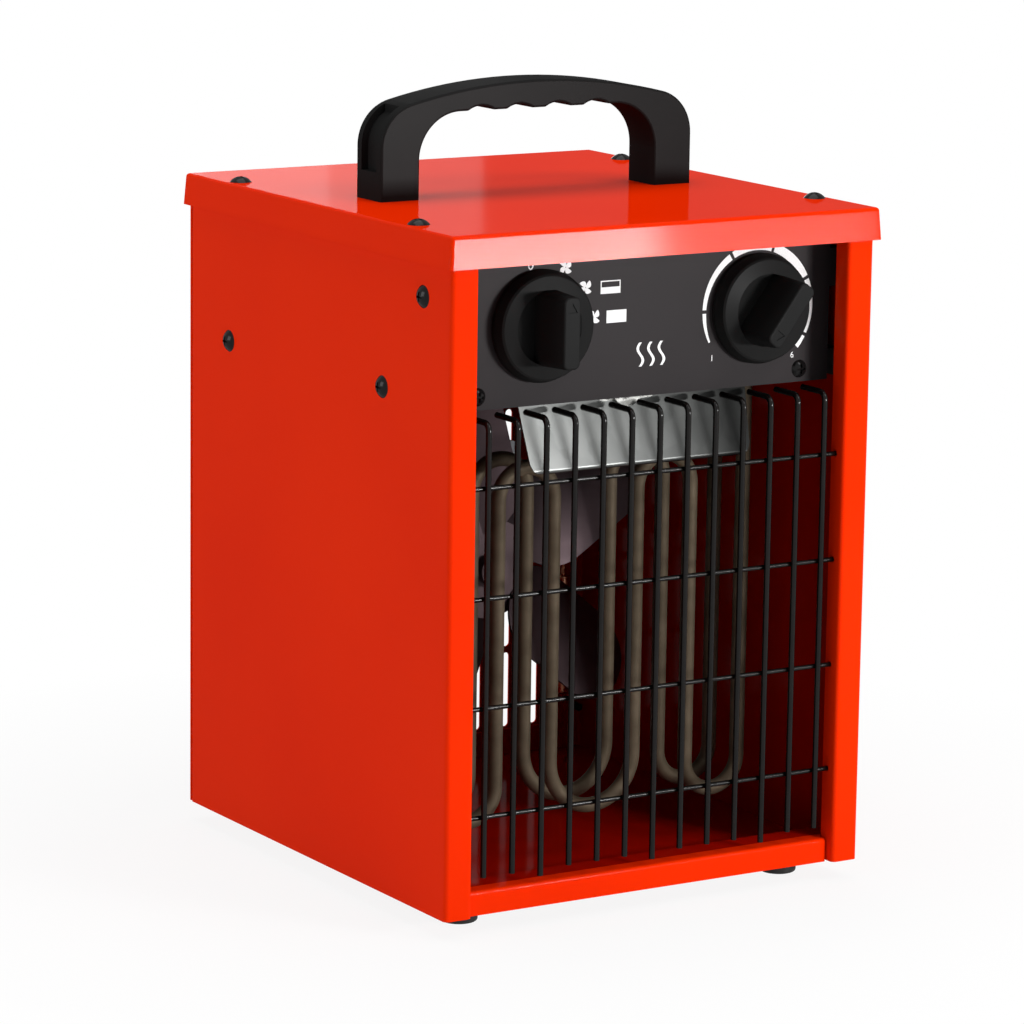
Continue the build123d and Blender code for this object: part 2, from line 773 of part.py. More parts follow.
# --- Partition between the air chamber and the control bay --------------------------
partition_length = tray_rear - panel_rear
partition_middle = panel_rear + partition_length / 2
partition_foot = partition_under - partition_flange
with BuildPart() as partition_plate:
    with BuildSketch(up_plane(0, partition_middle, partition_foot)):
        Rectangle(2 * inner_edge, partition_length)
    extrude(amount=partition_flange + inner_sheet)
    fillet(partition_plate.faces().sort_by(Axis.Z)[-1].edges(), radius=inner_bend)
    with BuildSketch(up_plane(0, partition_middle, partition_foot)):
        Rectangle(2 * (inner_edge - inner_sheet), partition_length - 2 * inner_sheet)
    extrude(amount=partition_flange, mode=Mode.SUBTRACT)
    with BuildSketch(up_plane(0, partition_middle, partition_foot)):
        with GridLocations(2 * inner_edge, partition_length, 2, 2):
            Rectangle(2 * partition_notch_x, 2 * partition_notch_y)
    extrude(amount=partition_flange + inner_sheet, mode=Mode.SUBTRACT)
    with BuildSketch(*element_end_planes):
        Circle(bushing_radius + bushing_clearance)
    extrude(amount=-2 * inner_sheet, mode=Mode.SUBTRACT)
    with BuildSketch(*deflector_screw_planes):
        Circle(screw_hole)
    extrude(amount=-2 * inner_sheet, mode=Mode.SUBTRACT)
    with BuildSketch(up_plane(0, 0, partition_top)):
        with Locations((bulb_x, capillary_hole_depth)):
            Circle(capillary_hole)
        with Locations(*[(gland_x + way, lead_hole_depth) for way in coil_ways]):
            Circle(lead_hole)
        with Locations((gland_x + block_pitch / 2, block_depth)):
            Circle(screw_shank)
    extrude(amount=-2 * inner_sheet, mode=Mode.SUBTRACT)
    with BuildSketch(front_plane(0, panel_recess, panel_screw_z)):
        with Locations((-panel_screw_x, 0), (panel_screw_x, 0)):
            Circle(screw_shank)
    extrude(amount=-3 * sheet, mode=Mode.SUBTRACT)
    with BuildSketch(rear_plane(0, body_depth, flange_screw_z)):
        with Locations((-centre_screw_x, 0), (centre_screw_x, 0)):
            Circle(screw_shank)
    extrude(amount=-3 * sheet, mode=Mode.SUBTRACT)
    with BuildSketch(*flange_screw_planes):
        Circle(screw_shank)
    extrude(amount=-3 * sheet, mode=Mode.SUBTRACT)
partition_plate.part.label = "partition_plate"
export_step(partition_plate.part, "parts/partition_plate.step")

# --- Control panel ---------------------------------------------------------------
panel_screw_places = [(side * panel_screw_x, panel_screw_z) for side in both_sides]
control_places = [(selector_x, knob_z), (thermostat_x, knob_z)]
control_screw_heights = (knob_z - control_screw_rise, knob_z + control_screw_rise)
control_screw_places = [(x, z) for x, knob in control_places for z in control_screw_heights]
tab_half = inner_edge - sheet / 2
with BuildPart() as control_panel:
    with BuildSketch(Plane.XY.offset(tab_screw_z - panel_tab_height / 2)):
        with BuildLine():
            FilletPolyline(
                (-tab_half, at(panel_rear + panel_tab_depth)),
                (-tab_half, at(panel_recess + sheet / 2)),
                (tab_half, at(panel_recess + sheet / 2)),
                (tab_half, at(panel_rear + panel_tab_depth)),
                radius=bend_radius,
            )
        trace(line_width=sheet)
    extrude(amount=panel_tab_height)
    with BuildSketch(front_plane(0, panel_recess, panel_bottom + panel_height / 2)):
        Rectangle(2 * panel_half_width, panel_height)
    extrude(amount=-sheet)
    with BuildSketch(front_plane(0, panel_recess, 0)):
        with Locations(*control_places):
            Circle(shaft_radius + panel_hole_clearance)
        with Locations(*control_screw_places, *panel_screw_places):
            Circle(screw_hole)
    extrude(amount=-sheet, mode=Mode.SUBTRACT)
    with BuildSketch(*[side_plane(side, tab_screw_depth, tab_screw_z) for side in both_sides]):
        Circle(screw_shank)
    extrude(amount=-3 * sheet, mode=Mode.SUBTRACT)
control_panel.part.label = "control_panel"
export_step(control_panel.part, "parts/control_panel.step")

with BuildPart() as panel_screws:
    with Locations(*[front_plane(side * panel_screw_x, panel_recess, panel_screw_z) for side in both_sides]):
        add(domed_screw(small_head, small_dome, screw_length))
panel_screws.part.label = "panel_screws"
export_step(panel_screws.part, "parts/panel_screws.step")

# --- Grille ---------------------------------------------------------------
rod_start = (rod_count - 1) / 2 * rod_pitch
with BuildPart() as front_grille:
    for place in range(rod_count):
        rod_x = place * rod_pitch - rod_start
        rod_end = ledge_top + (rod_long_rise if place % long_rod_every == long_rod_first else rod_short_rise)
        rod_points = [
            (rod_x, at(rod_depth), rod_end),
            (rod_x, at(rod_depth), rod_top),
            (rod_x, at(rod_back_end), rod_top),
        ]
        add(bent_line(rod_points, rod_bend, rod_radius))
    wire_half = return_x + wire_reach
    with BuildSketch(Plane.YZ.offset(-wire_half)):
        with Locations(*[(at(wire_depth), z) for z in wire_heights]):
            Circle(wire_radius)
    extrude(amount=2 * wire_half)
front_grille.part.label = "front_grille"
export_step(front_grille.part, "parts/front_grille.step")

# --- Heat deflector with its thermal cutout --------------------------------------
deflector_bottom = partition_top - deflector_drop
plate_top = partition_under - inner_sheet / 2
plate_foot = deflector_bottom + inner_sheet / 2
lean = Vector(0, deflector_top_depth - deflector_bottom_depth, plate_top - plate_foot)
lean_face = Vector(0, -lean.Z, lean.Y).normalized()
cutout_share = (cutout_drop - inner_sheet * 3 / 2) / lean.Z
cutout_depth = deflector_top_depth - cutout_share * lean.Y
cutout_middle = Vector(cutout_x, at(cutout_depth), plate_top - cutout_share * lean.Z)
cutout_plane = Plane(origin=cutout_middle + lean_face * (inner_sheet / 2), x_dir=(1, 0, 0), z_dir=lean_face)
with BuildPart() as heat_deflector:
    with BuildSketch(Plane.YZ.offset(-deflector_top_half)):
        with BuildLine():
            FilletPolyline(
                (at(deflector_top_depth + deflector_flange), plate_top),
                (at(deflector_top_depth), plate_top),
                (at(deflector_bottom_depth), plate_foot),
                (at(deflector_bottom_depth + deflector_lip), plate_foot),
                radius=inner_bend,
            )
        trace(line_width=inner_sheet)
    extrude(amount=2 * deflector_top_half)
    with BuildSketch(front_plane(0, 0, deflector_bottom)) as deflector_outline:
        with BuildLine():
            Polyline(
                (-deflector_bottom_half, 0),
                (deflector_bottom_half, 0),
                (deflector_top_half, deflector_drop),
                (-deflector_top_half, deflector_drop),
                close=True,
            )
        make_face()
        fillet(deflector_outline.vertices().group_by(Axis.Y)[0], radius=deflector_corner)
    extrude(amount=-body_depth, mode=Mode.INTERSECT)
    with BuildSketch(*deflector_screw_planes):
        Circle(screw_shank)
    extrude(amount=-3 * inner_sheet, mode=Mode.SUBTRACT)
    with BuildSketch(cutout_plane):
        Circle(cutout_body_radius + cutout_clearance)
        with Locations((-cutout_screw_x, 0), (cutout_screw_x, 0)):
            Circle(screw_shank)
    extrude(amount=-2 * inner_sheet, mode=Mode.SUBTRACT)
heat_deflector.part.label = "heat_deflector"
export_step(heat_deflector.part, "parts/heat_deflector.step")

with BuildPart() as deflector_screws:
    with Locations(*deflector_screw_planes):
        add(domed_screw(small_head, small_dome, short_screw_length))
deflector_screws.part.label = "deflector_screws"
export_step(deflector_screws.part, "parts/deflector_screws.step")

with BuildPart() as thermal_cutout:
    with BuildSketch(cutout_plane):
        SlotOverall(cutout_strap_length, cutout_strap_width)
    extrude(amount=cutout_strap_sheet)
    with BuildSketch(cutout_plane):
        Circle(cutout_radius)
    extrude(amount=cutout_rise)
    with BuildSketch(cutout_plane):
        Circle(cutout_body_radius)
    extrude(amount=-cutout_body_length)
    with BuildSketch(cutout_plane.offset(-cutout_body_length)):
        with Locations((-cutout_body_radius / 2, 0), (cutout_body_radius / 2, 0)):
            Rectangle(tab_sheet, tab_width)
    extrude(amount=-tab_length)
    with BuildSketch(cutout_plane):
        with Locations((-cutout_screw_x, 0), (cutout_screw_x, 0)):
            Circle(screw_hole)
    extrude(amount=cutout_strap_sheet, mode=Mode.SUBTRACT)
thermal_cutout.part.label = "thermal_cutout"
export_step(thermal_cutout.part, "parts/thermal_cutout.step")

cutout_screw_plane = cutout_plane.offset(cutout_strap_sheet)
with BuildPart() as cutout_screws:
    with Locations(cutout_screw_plane):
        with Locations((-cutout_screw_x, 0), (cutout_screw_x, 0)):
            add(domed_screw(small_head, small_dome, short_screw_length))
cutout_screws.part.label = "cutout_screws"
export_step(cutout_screws.part, "parts/cutout_screws.step")

# --- Knobs and their shafts --------------------------------------------------------
knob_depth = panel_recess - knob_gap
dish_top = rim_height + dish_rise
selector_plane = front_plane(selector_x, knob_depth, knob_z)
thermostat_rest = Location((0, 0, 0), (0, 0, -thermostat_rest_angle))
thermostat_plane = Plane(front_plane(thermostat_x, knob_depth, knob_z).location * thermostat_rest)

with BuildPart() as scoop_form:
    with BuildSketch(Plane.XZ):
        with BuildLine():
            Polyline(
                (0, dish_top - scoop_drop),
                (dish_radius, dish_top),
                (dish_radius, dish_top + dish_rise),
                (0, dish_top + dish_rise),
                close=True,
            )
        make_face()
    extrude(amount=dish_radius, both=True)
    with BuildSketch():
        Circle(dish_radius)
    extrude(amount=dish_top + dish_rise, mode=Mode.INTERSECT)

with BuildPart() as knob_form:
    with BuildSketch(Plane.XZ):
        with BuildLine():
            Polyline(
                (0, 0),
                (skirt_radius, 0),
                (skirt_radius, skirt_straight),
                (skirt_upper_radius, skirt_upper_height),
                (rim_radius, rim_height),
                (dish_radius, dish_top),
                (0, dish_top),
                close=True,
            )
        make_face()
    revolve(axis=Axis.Z)
    add(scoop_form.part, mode=Mode.SUBTRACT)
    add(scoop_form.part.mirror(Plane.YZ), mode=Mode.SUBTRACT)
    with BuildSketch(Plane.XY.offset(knob_hollow_depth)):
        RectangleRounded(grip_width + grip_spread, grip_length + grip_spread, grip_corner)
    with BuildSketch(Plane.XY.offset(knob_height)):
        RectangleRounded(grip_width, grip_length, grip_corner)
    loft()
    fillet(knob_form.faces().sort_by(Axis.Z)[-1].edges(), radius=grip_edge)
    with BuildSketch():
        Circle(knob_hollow_outer)
        Circle(knob_hollow_inner, mode=Mode.SUBTRACT)
    extrude(amount=knob_hollow_depth, mode=Mode.SUBTRACT)
    with BuildSketch(Plane.XY.offset(knob_height)):
        with Locations((0, grip_length / 2 - mark_inset)):
            RegularPolygon(mark_size, 3, rotation=90)
    extrude(amount=-mark_depth, mode=Mode.SUBTRACT)
    with BuildSketch():
        Circle(shaft_radius + shaft_clearance)
        with Locations((0, -(shaft_flat + shaft_clearance))):
            Rectangle(4 * shaft_radius, 4 * shaft_radius, align=(Align.CENTER, Align.MAX), mode=Mode.SUBTRACT)
    extrude(amount=shaft_in_knob + shaft_end_gap, mode=Mode.SUBTRACT)

with BuildPart() as shaft_form:
    with BuildSketch(Plane.XY.offset(-(knob_gap + sheet + shaft_in_body))):
        Circle(shaft_radius)
    extrude(amount=knob_gap + sheet + shaft_in_body + shaft_in_knob)
    with BuildSketch():
        with Locations((0, -shaft_flat)):
            Rectangle(4 * shaft_radius, 4 * shaft_radius, align=(Align.CENTER, Align.MAX))
    extrude(amount=shaft_in_knob, mode=Mode.SUBTRACT)

with BuildPart() as selector_knob:
    with Locations(selector_plane):
        add(knob_form.part)
selector_knob.part.label = "selector_knob"
export_step(selector_knob.part, "parts/selector_knob.step")

with BuildPart() as selector_shaft:
    with Locations(selector_plane):
        add(shaft_form.part)
selector_shaft.part.label = "selector_shaft"
export_step(selector_shaft.part, "parts/selector_shaft.step")

with BuildPart() as thermostat_knob:
    with Locations(thermostat_plane):
        add(knob_form.part)
thermostat_knob.part.label = "thermostat_knob"
export_step(thermostat_knob.part, "parts/thermostat_knob.step")

with BuildPart() as thermostat_spindle:
    with Locations(thermostat_plane):
        add(shaft_form.part)
thermostat_spindle.part.label = "thermostat_spindle"
export_step(thermostat_spindle.part, "parts/thermostat_spindle.step")

# --- Rotary switch and thermostat -----------------------------------------------
switch_face = front_plane(selector_x, panel_rear, knob_z)
with BuildPart() as rotary_switch:
    with BuildSketch(switch_face):
        RectangleRounded(control_plate_width, control_plate_height, control_plate_corner)
    extrude(amount=-control_plate)
    with BuildSketch(switch_face):
        Circle(switch_radius)
    extrude(amount=-switch_length)
    with BuildSketch(switch_face.offset(-switch_length)):
        with PolarLocations(switch_tab_radius, 4):
            Rectangle(tab_sheet, tab_width)
    extrude(amount=-tab_length)
    with BuildSketch(switch_face):
        Circle(shaft_radius + bearing_clearance)
    extrude(amount=-(shaft_in_body + shaft_end_gap), mode=Mode.SUBTRACT)
    with BuildSketch(switch_face):
        with Locations((0, -control_screw_rise), (0, control_screw_rise)):
            Circle(screw_shank)
    extrude(amount=-short_screw_length, mode=Mode.SUBTRACT)
rotary_switch.part.label = "rotary_switch"
export_step(rotary_switch.part, "parts/rotary_switch.step")

thermostat_face = front_plane(thermostat_x, panel_rear, knob_z)
with BuildPart() as thermostat_body:
    with BuildSketch(thermostat_face):
        RectangleRounded(thermostat_width, thermostat_height, thermostat_edge)
    extrude(amount=-thermostat_length)
    with BuildSketch(thermostat_face):
        RectangleRounded(control_plate_width, control_plate_height, control_plate_corner)
    extrude(amount=-control_plate)
    with BuildSketch(thermostat_face.offset(-thermostat_length)):
        with Locations((-thermostat_tab_x, thermostat_tab_rise), (thermostat_tab_x, thermostat_tab_rise)):
            Rectangle(tab_width, tab_sheet)
    extrude(amount=-tab_length)
    with BuildSketch(thermostat_face.offset(-thermostat_length)):
        with Locations((thermostat_tab_x, 0)):
            Circle(nipple_radius)
    extrude(amount=-nipple_length)
    with BuildSketch(thermostat_face):
        Circle(shaft_radius + bearing_clearance)
    extrude(amount=-(shaft_in_body + shaft_end_gap), mode=Mode.SUBTRACT)
    with BuildSketch(thermostat_face):
        with Locations((0, -control_screw_rise), (0, control_screw_rise)):
            Circle(screw_shank)
    extrude(amount=-short_screw_length, mode=Mode.SUBTRACT)
thermostat_body.part.label = "thermostat_body"
export_step(thermostat_body.part, "parts/thermostat_body.step")

with BuildPart() as switch_screws:
    with Locations(*[front_plane(x, panel_recess, z) for x, z in control_screw_places if x < 0]):
        add(domed_screw(small_head, small_dome, short_screw_length))
switch_screws.part.label = "switch_screws"
export_step(switch_screws.part, "parts/switch_screws.step")

with BuildPart() as thermostat_screws:
    with Locations(*[front_plane(x, panel_recess, z) for x, z in control_screw_places if x > 0]):
        add(domed_screw(small_head, small_dome, short_screw_length))
thermostat_screws.part.label = "thermostat_screws"
export_step(thermostat_screws.part, "parts/thermostat_screws.step")

# --- Thermostat bulb, clips and capillary ---------------------------------------------
bulb_foot = body_bottom + bulb_bottom
bulb_top = bulb_foot + bulb_length
with BuildPart() as thermostat_bulb:
    with BuildSketch(up_plane(bulb_x, bulb_depth, bulb_foot)):
        Circle(bulb_radius)
    extrude(amount=bulb_length)
    fillet(thermostat_bulb.edges().filter_by(GeomType.CIRCLE), radius=bulb_end_radius)
thermostat_bulb.part.label = "thermostat_bulb"
export_step(thermostat_bulb.part, "parts/thermostat_bulb.step")

clip_bore = bulb_radius + clip_clearance
clip_reach = rear_inside - bulb_depth
with BuildPart() as bulb_clips:
    for clip_z in (bulb_foot + clip_inset, bulb_top - clip_inset):
        with BuildSketch(up_plane(bulb_x, bulb_depth, clip_z - clip_height / 2)):
            Circle(clip_bore + clip_sheet)
            Rectangle(clip_sheet, clip_reach, align=(Align.CENTER, Align.MIN))
            with Locations((0, clip_reach)):
                Rectangle(clip_foot, clip_sheet, align=(Align.CENTER, Align.MAX))
            Circle(clip_bore, mode=Mode.SUBTRACT)
        extrude(amount=clip_height)
bulb_clips.part.label = "bulb_clips"
export_step(bulb_clips.part, "parts/bulb_clips.step")

thermostat_end = panel_rear + thermostat_length + nipple_length
capillary_end = thermostat_x + thermostat_tab_x
capillary_points = [
    (bulb_x, at(bulb_depth), bulb_top),
    (bulb_x, at(bulb_depth - capillary_slack), bulb_top + capillary_run),
    (bulb_x, at(capillary_hole_depth), partition_top - capillary_below),
    (bulb_x, at(capillary_hole_depth), partition_top),
]
capillary_points += [
    (bulb_x - inward, at(capillary_hole_depth - forward), partition_top + up)
    for inward, forward, up in capillary_turns
]
capillary_points += [
    (capillary_end + capillary_sway, at(thermostat_end + capillary_tail), knob_z),
    (capillary_end, at(thermostat_end), knob_z),
]
with BuildPart() as thermostat_capillary:
    add(soft_line(capillary_points, (0, 0, 1), (0, -1, 0), capillary_radius))
thermostat_capillary.part.label = "thermostat_capillary"
export_step(thermostat_capillary.part, "parts/thermostat_capillary.step")

# --- Heating elements -------------------------------------------------------------
element_end = partition_top + element_rise
right_legs = [element_leg_outer - place * element_pitch for place in range(3)]
element_legs = [-leg for leg in right_legs] + right_legs[::-1]


def heating_element(depth):
    """Tube bent into three bays, its two ends standing up through the partition."""
    with BuildPart() as tube:
        with BuildLine(front_plane(0, depth, 0)) as run:
            start = (element_legs[0], element_end)
            for place in range(len(element_legs) - 1):
                left = element_legs[place]
                right = element_legs[place + 1]
                reach = (right - left) / 2
                turns_low = place % 2 == 0
                low_level = element_bottom + tube_radius + reach
                high_level = element_arch_top - tube_radius - reach
                level = low_level if turns_low else high_level
                tip = level - reach if turns_low else level + reach
                Line(start, (left, level))
                ThreePointArc((left, level), (left + reach, tip), (right, level))
                start = (right, level)
            Line(start, (element_legs[-1], element_end))
        with BuildSketch(down_plane(element_legs[0], depth, element_end)):
            Circle(tube_radius)
        sweep(path=run.line)
    return tube.part


with BuildPart() as element_front:
    add(heating_element(element_front_depth))
element_front.part.label = "element_front"
export_step(element_front.part, "parts/element_front.step")

with BuildPart() as element_rear:
    add(heating_element(element_rear_depth))
element_rear.part.label = "element_rear"
export_step(element_rear.part, "parts/element_rear.step")

with BuildPart() as element_bushings:
    with BuildSketch(*element_end_planes):
        Circle(bushing_flange_radius)
    extrude(amount=bushing_flange_height)
    with BuildSketch(*element_end_planes):
        Circle(bushing_radius)
    extrude(amount=-bushing_below)
    with BuildSketch(*[plane.offset(-bushing_below) for plane in element_end_planes]):
        Circle(tube_radius + bushing_clearance)
    extrude(amount=bushing_below + bushing_flange_height, mode=Mode.SUBTRACT)
element_bushings.part.label = "element_bushings"
export_step(element_bushings.part, "parts/element_bushings.step")

with BuildPart() as bushing_nuts:
    with Locations(*[plane.offset(-inner_sheet - bushing_nut_height) for plane in element_end_planes]):
        add(hexagon_nut(bushing_nut_flats, bushing_nut_height, bushing_radius + bushing_nut_clearance))
bushing_nuts.part.label = "bushing_nuts"
export_step(bushing_nuts.part, "parts/bushing_nuts.step")

with BuildPart() as element_beads:
    with BuildSketch(*[plane.offset(element_rise) for plane in element_end_planes]):
        Circle(bead_radius)
        Circle(pin_radius, mode=Mode.SUBTRACT)
    extrude(amount=bead_height)
element_beads.part.label = "element_beads"
export_step(element_beads.part, "parts/element_beads.step")

with BuildPart() as element_pins:
    with BuildSketch(*[plane.offset(element_rise) for plane in element_end_planes]):
        Circle(pin_radius)
    extrude(amount=pin_length)
element_pins.part.label = "element_pins"
export_step(element_pins.part, "parts/element_pins.step")

# --- Fan ---------------------------------------------------------------
fan_plane = front_plane(0, fan_depth, fan_z)
fan_bore = motor_shaft_radius + motor_shaft_grip
blade_angles = [blade_start_angle + place * 360 / blade_count for place in range(blade_count)]
blade_places = [
    fan_plane.location * Location((0, 0, 0), (0, 0, angle)) * Location((0, 0, 0), (blade_pitch_angle, 0, 0))
    for angle in blade_angles
]
with BuildPart() as blade_form:
    with BuildSketch(Plane.XY.offset(-boss_length)):
        with Locations((fan_radius - blade_length / 2, 0)):
            RectangleRounded(blade_length, blade_width, blade_corner)
    extrude(amount=2 * boss_length)
    with BuildSketch(Plane.YZ):
        with Locations((0, -blade_camber)):
            Circle(blade_camber + blade_sheet / 2)
            Circle(blade_camber - blade_sheet / 2, mode=Mode.SUBTRACT)
    extrude(amount=2 * fan_radius, mode=Mode.INTERSECT)

with BuildPart() as fan_impeller:
    with BuildSketch(fan_plane.offset(-hub_sheet / 2)):
        Circle(hub_radius)
    extrude(amount=hub_sheet)
    with BuildSketch(fan_plane.offset(-boss_length / 2)):
        Circle(boss_radius)
    extrude(amount=boss_length)
    with Locations(*blade_places):
        add(blade_form.part)
    with BuildSketch(fan_plane.offset(-boss_length)):
        Circle(fan_bore)
    extrude(amount=2 * boss_length, mode=Mode.SUBTRACT)
fan_impeller.part.label = "fan_impeller"
export_step(fan_impeller.part, "parts/fan_impeller.step")

# --- Motor ---------------------------------------------------------------
stack_face = front_plane(0, stack_depth, fan_z)
stack_height = stack_low + stack_high
limb_low = stack_high - limb_height
with BuildPart() as motor_stator:
    with BuildSketch(stack_face):
        with Locations((0, (stack_high - stack_low) / 2)):
            RectangleRounded(2 * stack_half_width, stack_height, stack_corner)
        with Locations((0, (window_low + limb_low) / 2)):
            Rectangle(2 * window_half_width, limb_low - window_low, mode=Mode.SUBTRACT)
        Circle(rotor_radius + air_gap, mode=Mode.SUBTRACT)
        with Locations((-motor_screw_x, 0), (motor_screw_x, 0)):
            Circle(screw_hole, mode=Mode.SUBTRACT)
    extrude(amount=-stack_length)
motor_stator.part.label = "motor_stator"
export_step(motor_stator.part, "parts/motor_stator.step")

limb_middle_z = fan_z + stack_high - limb_height / 2
stack_middle = stack_depth + stack_length / 2
coil_end = (-coil_half_width, at(stack_middle), limb_middle_z)
coil_face = Plane(origin=coil_end, z_dir=(1, 0, 0), x_dir=(0, 1, 0))
with BuildPart() as motor_coil:
    with BuildSketch(coil_face):
        RectangleRounded(stack_length + 2 * coil_overhang, limb_height + 2 * coil_rise, coil_edge)
        Rectangle(stack_length + 2 * coil_clearance, limb_height + 2 * coil_clearance, mode=Mode.SUBTRACT)
    extrude(amount=2 * coil_half_width)
motor_coil.part.label = "motor_coil"
export_step(motor_coil.part, "parts/motor_coil.step")

with BuildPart() as bridge_form:
    with BuildSketch():
        with Locations((-motor_screw_x, 0), (motor_screw_x, 0)):
            Circle(bridge_standoff_radius)
    extrude(amount=bridge_standoff)
    with BuildSketch(Plane.XY.offset(bridge_standoff)):
        SlotOverall(2 * stack_half_width, bridge_height)
    extrude(amount=bridge_sheet)
    with BuildSketch(Plane.XY.offset(bridge_standoff - bridge_boss_rise)):
        Circle(bridge_boss_radius)
    extrude(amount=bridge_sheet + 2 * bridge_boss_rise)
    with BuildSketch():
        Circle(motor_shaft_radius + bearing_clearance)
        with Locations((-motor_screw_x, 0), (motor_screw_x, 0)):
            Circle(screw_hole)
    extrude(amount=bridge_standoff + bridge_sheet + bridge_boss_rise, mode=Mode.SUBTRACT)

with BuildPart() as motor_bridge_front:
    with Locations(stack_face):
        add(bridge_form.part)
motor_bridge_front.part.label = "motor_bridge_front"
export_step(motor_bridge_front.part, "parts/motor_bridge_front.step")

with BuildPart() as motor_bridge_rear:
    with Locations(rear_plane(0, stack_rear, fan_z)):
        add(bridge_form.part)
motor_bridge_rear.part.label = "motor_bridge_rear"
export_step(motor_bridge_rear.part, "parts/motor_bridge_rear.step")

with BuildPart() as motor_rotor:
    with BuildSketch(stack_face):
        Circle(rotor_radius)
    extrude(amount=-stack_length)
    with BuildSketch(stack_face.offset(rotor_ring)):
        Circle(rotor_ring_radius)
    extrude(amount=-(stack_length + 2 * rotor_ring))
    with BuildSketch(stack_face.offset(rotor_ring)):
        Circle(fan_bore)
    extrude(amount=-(stack_length + 2 * rotor_ring), mode=Mode.SUBTRACT)
motor_rotor.part.label = "motor_rotor"
export_step(motor_rotor.part, "parts/motor_rotor.step")

shaft_start = fan_depth - boss_length / 2
shaft_stop = mount_depth + bridge_boss_rise
with BuildPart() as motor_shaft:
    with BuildSketch(front_plane(0, shaft_start, fan_z)):
        Circle(motor_shaft_radius)
    extrude(amount=-(shaft_stop - shaft_start))
motor_shaft.part.label = "motor_shaft"
export_step(motor_shaft.part, "parts/motor_shaft.step")

mount_end = mount_arm + mount_foot
with BuildPart() as motor_mount:
    with BuildSketch(Plane.XY.offset(fan_z - mount_height / 2)):
        with BuildLine():
            FilletPolyline(
                (-mount_end, at(rear_inside - mount_sheet / 2)),
                (-mount_arm, at(rear_inside - mount_sheet / 2)),
                (-mount_arm, at(mount_depth + mount_sheet / 2)),
                (mount_arm, at(mount_depth + mount_sheet / 2)),
                (mount_arm, at(rear_inside - mount_sheet / 2)),
                (mount_end, at(rear_inside - mount_sheet / 2)),
                radius=mount_bend,
            )
        trace(line_width=mount_sheet)
    extrude(amount=mount_height)
    with BuildSketch(front_plane(0, mount_depth, fan_z)):
        Circle(bridge_boss_radius + mount_hole_clearance)
        with Locations((-motor_screw_x, 0), (motor_screw_x, 0)):
            Circle(screw_hole)
    extrude(amount=-2 * mount_sheet, mode=Mode.SUBTRACT)
    with BuildSketch(rear_plane(0, body_depth, fan_z)):
        with Locations((-mount_screw_x, 0), (mount_screw_x, 0)):
            Circle(screw_shank)
    extrude(amount=-3 * mount_sheet, mode=Mode.SUBTRACT)
motor_mount.part.label = "motor_mount"
export_step(motor_mount.part, "parts/motor_mount.step")

bridge_front_depth = stack_depth - bridge_standoff - bridge_sheet
nut_depth = mount_depth + mount_sheet
motor_screw_length = nut_depth + motor_nut_height + motor_screw_end - bridge_front_depth
with BuildPart() as motor_screws:
    with Locations(*[front_plane(side * motor_screw_x, bridge_front_depth, fan_z) for side in both_sides]):
        add(domed_screw(small_head, small_dome, motor_screw_length))
motor_screws.part.label = "motor_screws"
export_step(motor_screws.part, "parts/motor_screws.step")

with BuildPart() as motor_nuts:
    with Locations(*[rear_plane(side * motor_screw_x, nut_depth, fan_z) for side in both_sides]):
        add(hexagon_nut(motor_nut_flats, motor_nut_height, screw_shank))
motor_nuts.part.label = "motor_nuts"
export_step(motor_nuts.part, "parts/motor_nuts.step")

with BuildPart() as mount_screws:
    with Locations(*[rear_plane(x, body_depth, z) for x, z in mount_screw_places]):
        add(domed_screw(small_head, small_dome, short_screw_length))
mount_screws.part.label = "mount_screws"
export_step(mount_screws.part, "parts/mount_screws.step")

# --- Terminal block -------------------------------------------------------------
block_face = up_plane(gland_x, block_depth, partition_top)
block_front = block_depth - block_length / 2
block_rear = block_depth + block_length / 2
way_z = partition_top + block_height / 2
terminal_screw_places = [(x, side * block_screw_y) for x in block_way_places for side in both_sides]
with BuildPart() as terminal_block:
    with BuildSketch(block_face):
        Rectangle(block_width, block_length)
    extrude(amount=block_height)
    with BuildSketch(front_plane(gland_x, block_front, way_z)):
        with Locations(*[(x, 0) for x in block_way_places]):
            Circle(block_bore)
    extrude(amount=-block_length, mode=Mode.SUBTRACT)
    with BuildSketch(block_face.offset(block_height)):
        with Locations(*terminal_screw_places):
            Circle(block_screw_radius)
    extrude(amount=-block_screw_length, mode=Mode.SUBTRACT)
    with BuildSketch(block_face):
        with Locations((block_pitch / 2, 0)):
            Circle(screw_hole)
    extrude(amount=block_height, mode=Mode.SUBTRACT)
terminal_block.part.label = "terminal_block"
export_step(terminal_block.part, "parts/terminal_block.step")

with BuildPart() as terminal_screws:
    with BuildSketch(block_face.offset(block_height)):
        with Locations(*terminal_screw_places):
            Circle(block_screw_radius)
    extrude(amount=-block_screw_length)
    with BuildSketch(block_face.offset(block_height)):
        with Locations(*terminal_screw_places):
            Rectangle(3 * block_screw_radius, block_screw_slot)
    extrude(amount=-block_screw_slot, mode=Mode.SUBTRACT)
terminal_screws.part.label = "terminal_screws"
export_step(terminal_screws.part, "parts/terminal_screws.step")

with BuildPart() as block_screw:
    with Locations(up_plane(gland_x + block_pitch / 2, block_depth, partition_top + block_height)):
        add(domed_screw(small_head, small_dome, block_height + short_screw_length / 2))
block_screw.part.label = "block_screw"
export_step(block_screw.part, "parts/block_screw.step")

